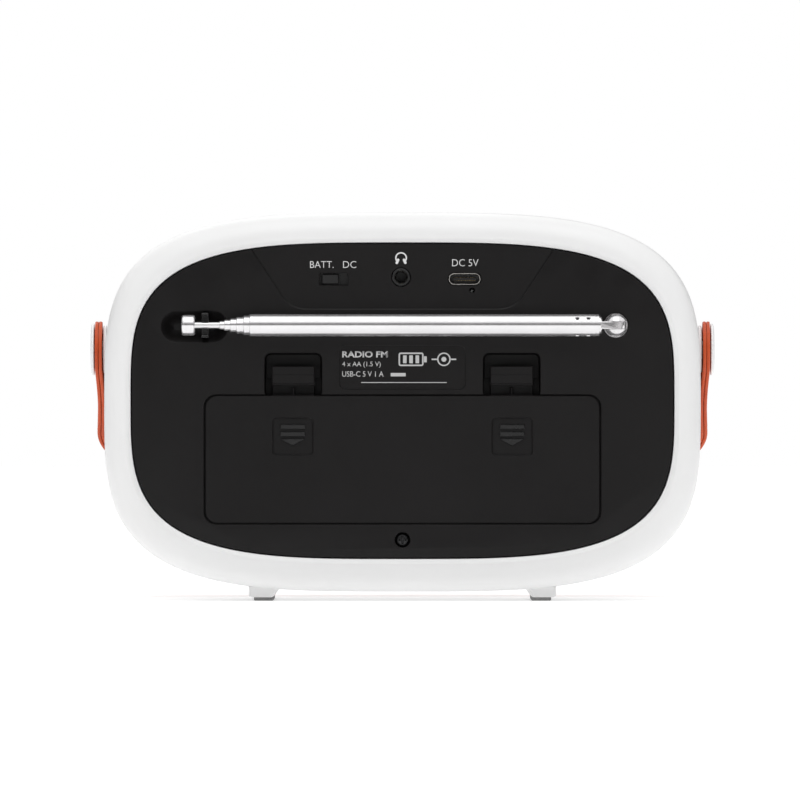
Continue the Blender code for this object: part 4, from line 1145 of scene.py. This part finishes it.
def strap_section(inner, outer, width, rounding):
    """Closed section (across, depth) of a layer: flat faces with seams, and rounded edges."""
    edge = min(rounding, width * 0.45)
    depth_edge = min(edge, (outer - inner) / 2)
    points = []
    for quarter, (sign_a, sign_d) in enumerate(((1, 1), (-1, 1), (-1, -1), (1, -1))):
        centre_a = sign_a * (width - edge)
        centre_d = (outer if sign_d > 0 else inner) - sign_d * depth_edge
        for step in range(6):
            angle = math.pi / 2 * (quarter + step / 5)
            points.append((centre_a + edge * math.cos(angle), centre_d + depth_edge * math.sin(angle)))
        if quarter == 0:
            points += seam_points(outer, -SEAM_DEPTH, 1, width)
        if quarter == 2:
            points += seam_points(inner, SEAM_DEPTH, -1, width)
    return points


def strap_layer(name, inner, outer, half_width, rounding):
    """One leather layer between two distances from the band's middle line, with rounded ends."""
    ends = []
    for step in range(9):
        angle = math.pi / 2 * step / 9
        ends.append((-half_width * math.cos(angle), half_width * max(math.sin(angle), 0.02)))
    stations = 150
    left, _, left_out = strap_middle(0.0)
    right, _, right_out = strap_middle(1.0)
    path = [(left, reach, left_out, width) for reach, width in ends]
    path += [(*strap_middle(step / stations), half_width) for step in range(stations + 1)]
    path += [(right, reach, right_out, width) for reach, width in reversed(ends)]
    rings = []
    for x, reach, out, width in path:
        ring = []
        for across, depth in strap_section(inner, outer, width, rounding):
            ring.append(strap_point(x + out[0] * depth, reach + out[1] * depth, across))
        rings.append(ring)
    return loft(name, rings, smooth=45)


def make_strap():
    wide = STRAP_HALF_WIDTH - 0.05 * MM
    inner = strap_layer("strap_inner_layer", -1.0 * MM, -0.05 * MM, wide, 0.35 * MM)
    outer = strap_layer("strap_outer_layer", 0.05 * MM, 1.0 * MM, wide, 0.35 * MM)
    core = strap_layer("strap_core", -0.12 * MM, 0.12 * MM, STRAP_HALF_WIDTH - 0.45 * MM, 0.1 * MM)
    hole, reach = 2.8 * MM, 0.1
    profile = [(0, -reach), (hole, -reach), (hole, reach), (0, reach)]
    for layer in (inner, outer, core):
        cut(layer, lathe("cutter", profile, (0, STUD.y, STUD.z), "X", 40), smooth=45)
    dress(inner, "leather", "strap", "leather", "strap")
    dress(outer, "leather", "strap", "leather")
    dress(core, "leather_edge", "strap", "leather")
    dress(stitches(), "thread", "strap", "leather")


def strap_track():
    """Points of the strap's middle line, each with its distance along it."""
    samples = 900
    track = []
    total = 0.0
    for step in range(samples + 1):
        x, reach, out = strap_middle(step / samples)
        if track:
            total += math.hypot(x - track[-1][1], reach - track[-1][2])
        track.append((total, x, reach, out))
    return track


def find(track, distance):
    """The last sampled point before a distance along the strap."""
    low, high = 0, len(track) - 1
    while high - low > 1:
        middle = (low + high) // 2
        if track[middle][0] < distance:
            low = middle
        else:
            high = middle
    return track[low]


def stitch(track, start, face, row):
    """One slanted loop of thread on a face, its two ends pulled into the leather."""
    length, seam = 2.2 * MM, STRAP_HALF_WIDTH - 1.95 * MM
    path = []
    for step in range(6):
        _, x, reach, out = find(track, start + length * step / 5)
        lift = 0.88 * MM + 0.06 * MM * math.sin(math.pi * step / 5)
        if step in (0, 5):
            lift -= 0.10 * MM
        across = row * seam + (step / 5 - 0.5) * 0.3 * MM
        path.append(strap_point(x + out[0] * lift * face, reach + out[1] * lift * face, across))
    return sweep("piece", path, 0.12 * MM, 6)


def stitches():
    """Two rows of saddle stitches on both faces."""
    pitch, margin = 3 * MM, 3 * MM
    track = strap_track()
    count = int((track[-1][0] - 2 * margin) / pitch)
    pieces = []
    for index in range(count):
        for face in (-1, 1):
            for row in (-1, 1):
                pieces.append(stitch(track, margin + index * pitch, face, row))
    return merged("strap_stitching", pieces)


# ---------------------------------------------------------------- front

COVER_BACK = FRONT_FACE + 3.6 * MM
KNOBS = (("tuning", 60), ("volume", 40))

# Depth behind the dial's front and distance in from its rim, from the knurl's end to the dish.
DIAL = ((0.9, 0.05), (0.35, 0.25), (0.08, 0.6), (0, 1.1), (0, 2.4), (0.15, 3.0), (0.9, 4.2), (1.0, 5.0))


def front_cuts():
    """The seats of grille and display, and the holes for buttons and knobs."""
    through = COVER_BACK + 2 * MM
    grille = Place("speaker_grille")
    window = Place("display_window")
    cuts = [
        pocket(grille.outline(14.3 * MM, 0.7 * MM, 12), FRONT_FACE, FRONT_FACE + 2 * MM, 0.15 * MM),
        pocket(circle(grille.face, 26.5 * MM, 80), FRONT_FACE + 1 * MM, through, 0.02 * MM),
        pocket(window.outline(2 * MM, 0.5 * MM), FRONT_FACE, FRONT_FACE + 1.5 * MM, 0.12 * MM),
        pocket(window.outline(1 * MM, -4 * MM), FRONT_FACE + 0.5 * MM, through, 0.02 * MM),
    ]
    for index in range(1, 5):
        hole = Place(f"button_{index}").outline(1.8 * MM, 0.6 * MM)
        cuts.append(pocket(hole, FRONT_FACE, through, 0.15 * MM))
    for word, _ in KNOBS:
        hole = circle(Place(word + "_knob").face, 3.3 * MM)
        cuts.append(pocket(hole, FRONT_FACE, through, 0.1 * MM))
    return cuts


def make_front_panel():
    panel = cover("front_cover", FRONT_FACE, 1)
    cut(panel, *front_cuts())
    radius, start, end = 2.8 * MM, COVER_BACK - 1 * MM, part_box("front_panel")[1][1]
    profile = [(0, start), (radius, start), (radius, end), (0, end)]
    join(panel, lathe("piece", profile, (0, 0, SCREW[1]), "Y", 32))
    dress(panel, "black", "cabinet", "black_plastic", "front_panel")


def make_grille():
    """Slotted front of the speaker with a raised edge, and cloth behind the slots."""
    place = Place("speaker_grille")
    front, back = place.low[1], place.high[1]
    half, corner = place.width / 2, 14 * MM
    grille = slab("speaker_slats", rounded(place.face, 2 * half, 2 * half, corner, 14), front, back, 0.4 * MM)
    rows, pitch = 11, 5.4 * MM
    slots = []
    for row in range(rows):
        offset = (row - (rows - 1) / 2) * pitch
        over = max(0.0, abs(offset) + 1.3 * MM - (half - corner))
        loss = corner - math.sqrt(max(0.0, corner**2 - over**2))
        length = 2 * (half - 3 * MM - loss)
        slot = rounded((place.x, place.z + offset), length, 2.6 * MM, 1.29 * MM, 6)
        slots.append(pocket(slot, front, back + 1 * MM, 0.3 * MM, 0.02 * MM))
    cut(grille, *slots)
    dress(grille, "black", "cabinet", "black_plastic", "speaker_grille")
    behind = back + 0.35 * MM
    cloth = slab("speaker_cloth", circle(place.face, 26.2 * MM, 80), behind, behind + 0.4 * MM, 0.1 * MM)
    dress(cloth, "cloth", "cabinet", "black_plastic")


def make_display():
    window = Place("display_window")
    lens = slab("display_lens", window.outline(1.8 * MM), window.low[1], window.high[1], 0.2 * MM)
    dress(lens, "glass", "cabinet", "clear", "display_window")
    low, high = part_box("display_module")
    front, face = low[1], low[1] + 0.3 * MM
    module = box("display_body", low, high, 0.3 * MM)
    cut(module, pocket(window.outline(0.8 * MM, -5 * MM), front, front + 0.6 * MM, 0.3 * MM, 0.05 * MM))
    dress(module, "grey", "cabinet", "module", "display_module")
    cell = slab("display_cell", window.outline(0.6 * MM, -5.4 * MM), face, front + 0.58 * MM, 0.05 * MM)
    dress(cell, "lcd", "cabinet", "module")
    words = (
        ("display_number", "98.5", 2, -0.4, 8.6 * MM, 24 * MM, 0.0),
        ("display_band", "FM", -17.5, 3.2, 2.6 * MM, 4.6 * MM, 0.02),
        ("display_unit", "MHz", 19.2, -3.4, 2.2 * MM, 5.6 * MM, 0.01),
    )
    for name, text, right, up, height, width, bold in words:
        centre = (window.x + right * MM, window.z + up * MM)
        segments = lettering(name, text, centre, face, height, "front", width, bold)
        dress(segments, "segment", "cabinet", "module")


def knob_ring(place, y, radius, knurl, teeth):
    """One ring of a knob; knurl is the depth of the grooves between its teeth."""
    per_tooth = 6
    ring = []
    for step in range(teeth * per_tooth):
        angle = 2 * math.pi * step / (teeth * per_tooth)
        reach = radius - knurl * (0.5 - 0.5 * math.cos(2 * math.pi * step / per_tooth))
        ring.append((place.x + reach * math.cos(angle), y, place.z + reach * math.sin(angle)))
    return ring


def make_knobs():
    """Dished knobs with a knurled rim, a bright ring and a pointer line."""
    for word, teeth in KNOBS:
        name = word + "_knob"
        place = Place(name)
        centre = (place.x, 0, place.z)
        radius, front = place.width / 2, place.low[1]
        back, root = FRONT_FACE - 0.6 * MM, FRONT_FACE - 1.6 * MM
        knurl = 0.22 * MM
        levels = [(back, radius - 0.4 * MM, 0), (back - 0.4 * MM, radius, 0)]
        levels += [(back - 0.6 * MM, radius, knurl), (front + 1.3 * MM, radius, knurl)]
        levels += [(front + up * MM, radius - inward * MM, 0) for up, inward in DIAL]
        rings = [knob_ring(place, y, reach, groove, teeth) for y, reach, groove in levels]
        knob = loft("dial_" + word, rings, smooth=40)
        end, shaft = place.high[1], 3 * MM
        profile = [(0, end), (shaft, end), (shaft, root), (0, root)]
        join(knob, lathe("piece", profile, centre, "Y", 40), smooth=40)
        dress(knob, "black_smooth", name, "black_plastic", name)
        bright = ((2.9, 0.16), (1.15, 0.02), (1.1, 0.3), (2.9, 0.4))
        profile = [(radius - inward * MM, front + up * MM) for inward, up in bright]
        dress(lathe("dial_ring_" + word, profile, centre, "Y", 96, loop=True), "chrome", name, "chrome")
        pointer = rounded((place.x, place.z + radius - 6.6 * MM), 0.7 * MM, 2.6 * MM, 0.3 * MM)
        line = slab("dial_line_" + word, pointer, front + 0.93 * MM, front + 1.3 * MM, 0.03 * MM)
        dress(line, "ink", name, "white_plastic")


def mark_bar(centre, up, width, height, y, proud=0.0):
    """A bar of a button's mark, a given number of millimetres above its centre."""
    outline = rounded((centre[0], centre[1] + up * MM), width * MM, height * MM, 0.1 * MM, 2)
    return slab("piece", outline, y - proud, y + 0.06 * MM + proud, 0.01 * MM)


def power_arc(centre, y):
    """The open ring of the power mark."""
    ring = []
    for step in range(21):
        angle = math.radians(125 + 290 * step / 20)
        reach = 1.0 * MM
        ring.append((centre[0] + reach * math.cos(angle), y + 0.02 * MM, centre[1] + reach * math.sin(angle)))
    return sweep("piece", ring, 0.12 * MM, 6)


def button_mark(index, centre, y):
    """Generic marks: power, minus, plus and mode."""
    if index == 1:
        parts = [power_arc(centre, y), mark_bar(centre, 0.8, 0.24, 1.1, y)]
    elif index == 4:
        parts = [mark_bar(centre, up, 2.2, 0.26, y) for up in (-0.7, 0, 0.7)]
    else:
        parts = [mark_bar(centre, 0, 2.0, 0.28, y)]
    if index == 3:
        parts.append(mark_bar(centre, 0, 0.28, 2.0, y, 0.004 * MM))
    return merged(f"key_mark_{index}", parts)


def make_buttons():
    for index in range(1, 5):
        name = f"button_{index}"
        place = Place(name)
        outline = place.outline(1.5 * MM)
        front = place.low[1]
        levels = ((0, -1.0), (0.08, -0.5), (0.3, -0.15), (0.6, 0.0))
        rings = [at_y(outline(offset * MM), front + depth * MM) for depth, offset in levels]
        rings.append(at_y(outline(), place.high[1]))
        dress(loft(f"key_cap_{index}", rings, smooth=50), "white", name, "white_plastic", name)
        dress(button_mark(index, place.face, front - 0.03 * MM), "segment", name, "module")


# ---------------------------------------------------------------- batteries


def make_cells():
    for index in range(1, 5):
        name = f"battery_cell_{index}"
        cell = Place(name)
        centre = (0, cell.y, cell.z)
        radius = cell.radius
        points_right = index % 2 == 0
        axis = "X" if points_right else "-X"
        start, end = (cell.low[0], cell.high[0]) if points_right else (-cell.high[0], -cell.low[0])
        inset, wall = end - 1.7 * MM, radius - 0.1 * MM
        can = [
            (0, end),
            (2.2 * MM, end),
            (2.6 * MM, end - 0.3 * MM),
            (2.6 * MM, end - 1.2 * MM),
            (4.2 * MM, end - 1.25 * MM),
            (4.4 * MM, inset),
            (radius - 1.2 * MM, inset),
            (radius - 1.0 * MM, end - 1.2 * MM),
            (radius - 0.4 * MM, end - 1.15 * MM),
            (wall, end - 1.5 * MM),
            (wall, start + 0.5 * MM),
            (radius - 0.4 * MM, start + 0.1 * MM),
            (radius - 1.1 * MM, start + 0.05 * MM),
            (radius - 1.4 * MM, start + 0.45 * MM),
            (3.2 * MM, start + 0.45 * MM),
            (3.0 * MM, start),
            (0, start),
        ]
        dress(lathe(f"cell_can_{index}", can, centre, axis, 48), "nickel", "cabinet", "battery", name)
        split, gap, lip = end - 13 * MM, 0.01 * MM, 0.05 * MM
        sleeves = (
            ("wrap", "sleeve", start + 0.7 * MM, split - gap),
            ("band", "sleeve_end", split + gap, inset),
        )
        for part, material, low, high in sleeves:
            under = radius - 0.08 * MM
            profile = [(under, low), (radius, low + lip), (radius, high - lip), (under, high)]
            wrap = lathe(f"cell_{part}_{index}", profile, centre, axis, 48, loop=True)
            dress(wrap, material, "cabinet", "battery")


# ---------------------------------------------------------------- what stays as CAD, camera and light


def dress_frame_nodes():
    """CAD pieces whose shape is right keep it and take a finished material."""
    finishes = {
        "speaker_basket": "screw",
        "speaker_cone": "cone",
        "speaker_magnet": "steel",
        "main_board": "board",
        "jack_board": "board",
        "tuning_encoder": "steel",
        "volume_control": "steel",
        "power_switch_housing": "steel",
        "battery_bridge": "nickel",
        "battery_terminal_lower": "nickel",
        "battery_terminal_upper": "nickel",
    }
    for name, material in finishes.items():
        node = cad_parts[name]
        node.data.materials.clear()
        node.data.materials.append(MATERIALS[material])


def make_studio():
    size = 6.0
    verts = [(-size, -size, 0), (size, -size, 0), (size, size, 0), (-size, size, 0)]
    floor = new_object("studio_floor", verts, [(0, 1, 2, 3)])
    nodes = Nodes("studio_white").set(Roughness=0.9, Specular_IOR_Level=0.1, Emission_Strength=0.37)
    nodes.set(Emission_Color=(1, 1, 1, 1))
    cloud = nodes.between(nodes.noise(2, 2), 0, 1)
    nodes.link(nodes.mix(cloud, (0.80, 0.80, 0.80), (0.82, 0.82, 0.82)), "Base Color")
    floor.data.materials.append(nodes.material)

    world = bpy.data.worlds.new("studio")
    bpy.context.scene.world = world
    world.use_nodes = True
    tree = world.node_tree
    background = tree.nodes["Background"]
    coords = tree.nodes.new("ShaderNodeTexCoord")
    split = tree.nodes.new("ShaderNodeSeparateXYZ")
    ramp = tree.nodes.new("ShaderNodeValToRGB")
    path = tree.nodes.new("ShaderNodeLightPath")
    mix = tree.nodes.new("ShaderNodeMix")
    mix.data_type = "RGBA"
    tree.links.new(coords.outputs["Generated"], split.inputs[0])
    tree.links.new(split.outputs["Z"], ramp.inputs[0])
    ramp.color_ramp.elements[0].position = 0.0
    ramp.color_ramp.elements[0].color = (0.146, 0.13, 0.13, 1)
    ramp.color_ramp.elements[1].position = 0.72
    ramp.color_ramp.elements[1].color = (1.05, 1.05, 1.05, 1)
    for position, value in ((0.10, 0.085), (0.33, 0.11), (0.44, 0.82)):
        element = ramp.color_ramp.elements.new(position)
        element.color = (value, value, value, 1)
    tree.links.new(path.outputs["Is Camera Ray"], mix.inputs[0])
    tree.links.new(ramp.outputs[0], mix.inputs[6])
    mix.inputs[7].default_value = (1.0, 1.0, 1.0, 1)
    tree.links.new(mix.outputs[2], background.inputs["Color"])
    background.inputs["Strength"].default_value = 1.0

    for name, place, size, energy in (
        ("soft_top", (0.0, 0.55, 1.3), 1.2, 4.6),
        ("soft_left", (1.1, 1.3, 0.55), 1.0, 0.75),
        ("soft_right", (-1.1, 1.3, 0.55), 1.0, 0.75),
        ("soft_front", (0.5, -1.5, 0.9), 1.2, 3.4),
    ):
        light = bpy.data.lights.new(name, "AREA")
        light.shape = "SQUARE"
        light.size = size
        light.energy = energy
        holder = bpy.data.objects.new(name, light)
        bpy.context.scene.collection.objects.link(holder)
        holder.location = place
        aim = Vector((0, 0, 0.05)) - Vector(place)
        holder.rotation_euler = aim.to_track_quat("-Z", "Y").to_euler()


def make_camera():
    """Level with the radio's middle and straight behind it, far off so that the view is almost parallel."""
    distance = 3.0
    field = 0.2241
    camera = bpy.data.cameras.new("photo_view")
    camera.sensor_width = 36
    camera.lens = 36 * distance / field
    camera.clip_end = 50
    holder = bpy.data.objects.new("photo_view", camera)
    bpy.context.scene.collection.objects.link(holder)
    holder.location = (0.7 * MM, PANEL_FACE + distance, 56.4 * MM)
    holder.rotation_euler = (math.radians(90), 0, math.radians(180))
    bpy.context.scene.camera = holder
    bpy.context.scene.view_settings.view_transform = "Standard"


MATERIALS = make_materials()
make_studio()
make_camera()
make_housing()
make_feet()
make_studs()
make_rear_panel()
make_door()
make_latches()
make_panel_screw()
make_usb()
make_headphone_socket()
make_slider()
make_print()
make_led()
make_antenna()
make_clip()
make_strap()
make_front_panel()
make_grille()
make_display()
make_knobs()
make_buttons()
make_cells()
dress_frame_nodes()
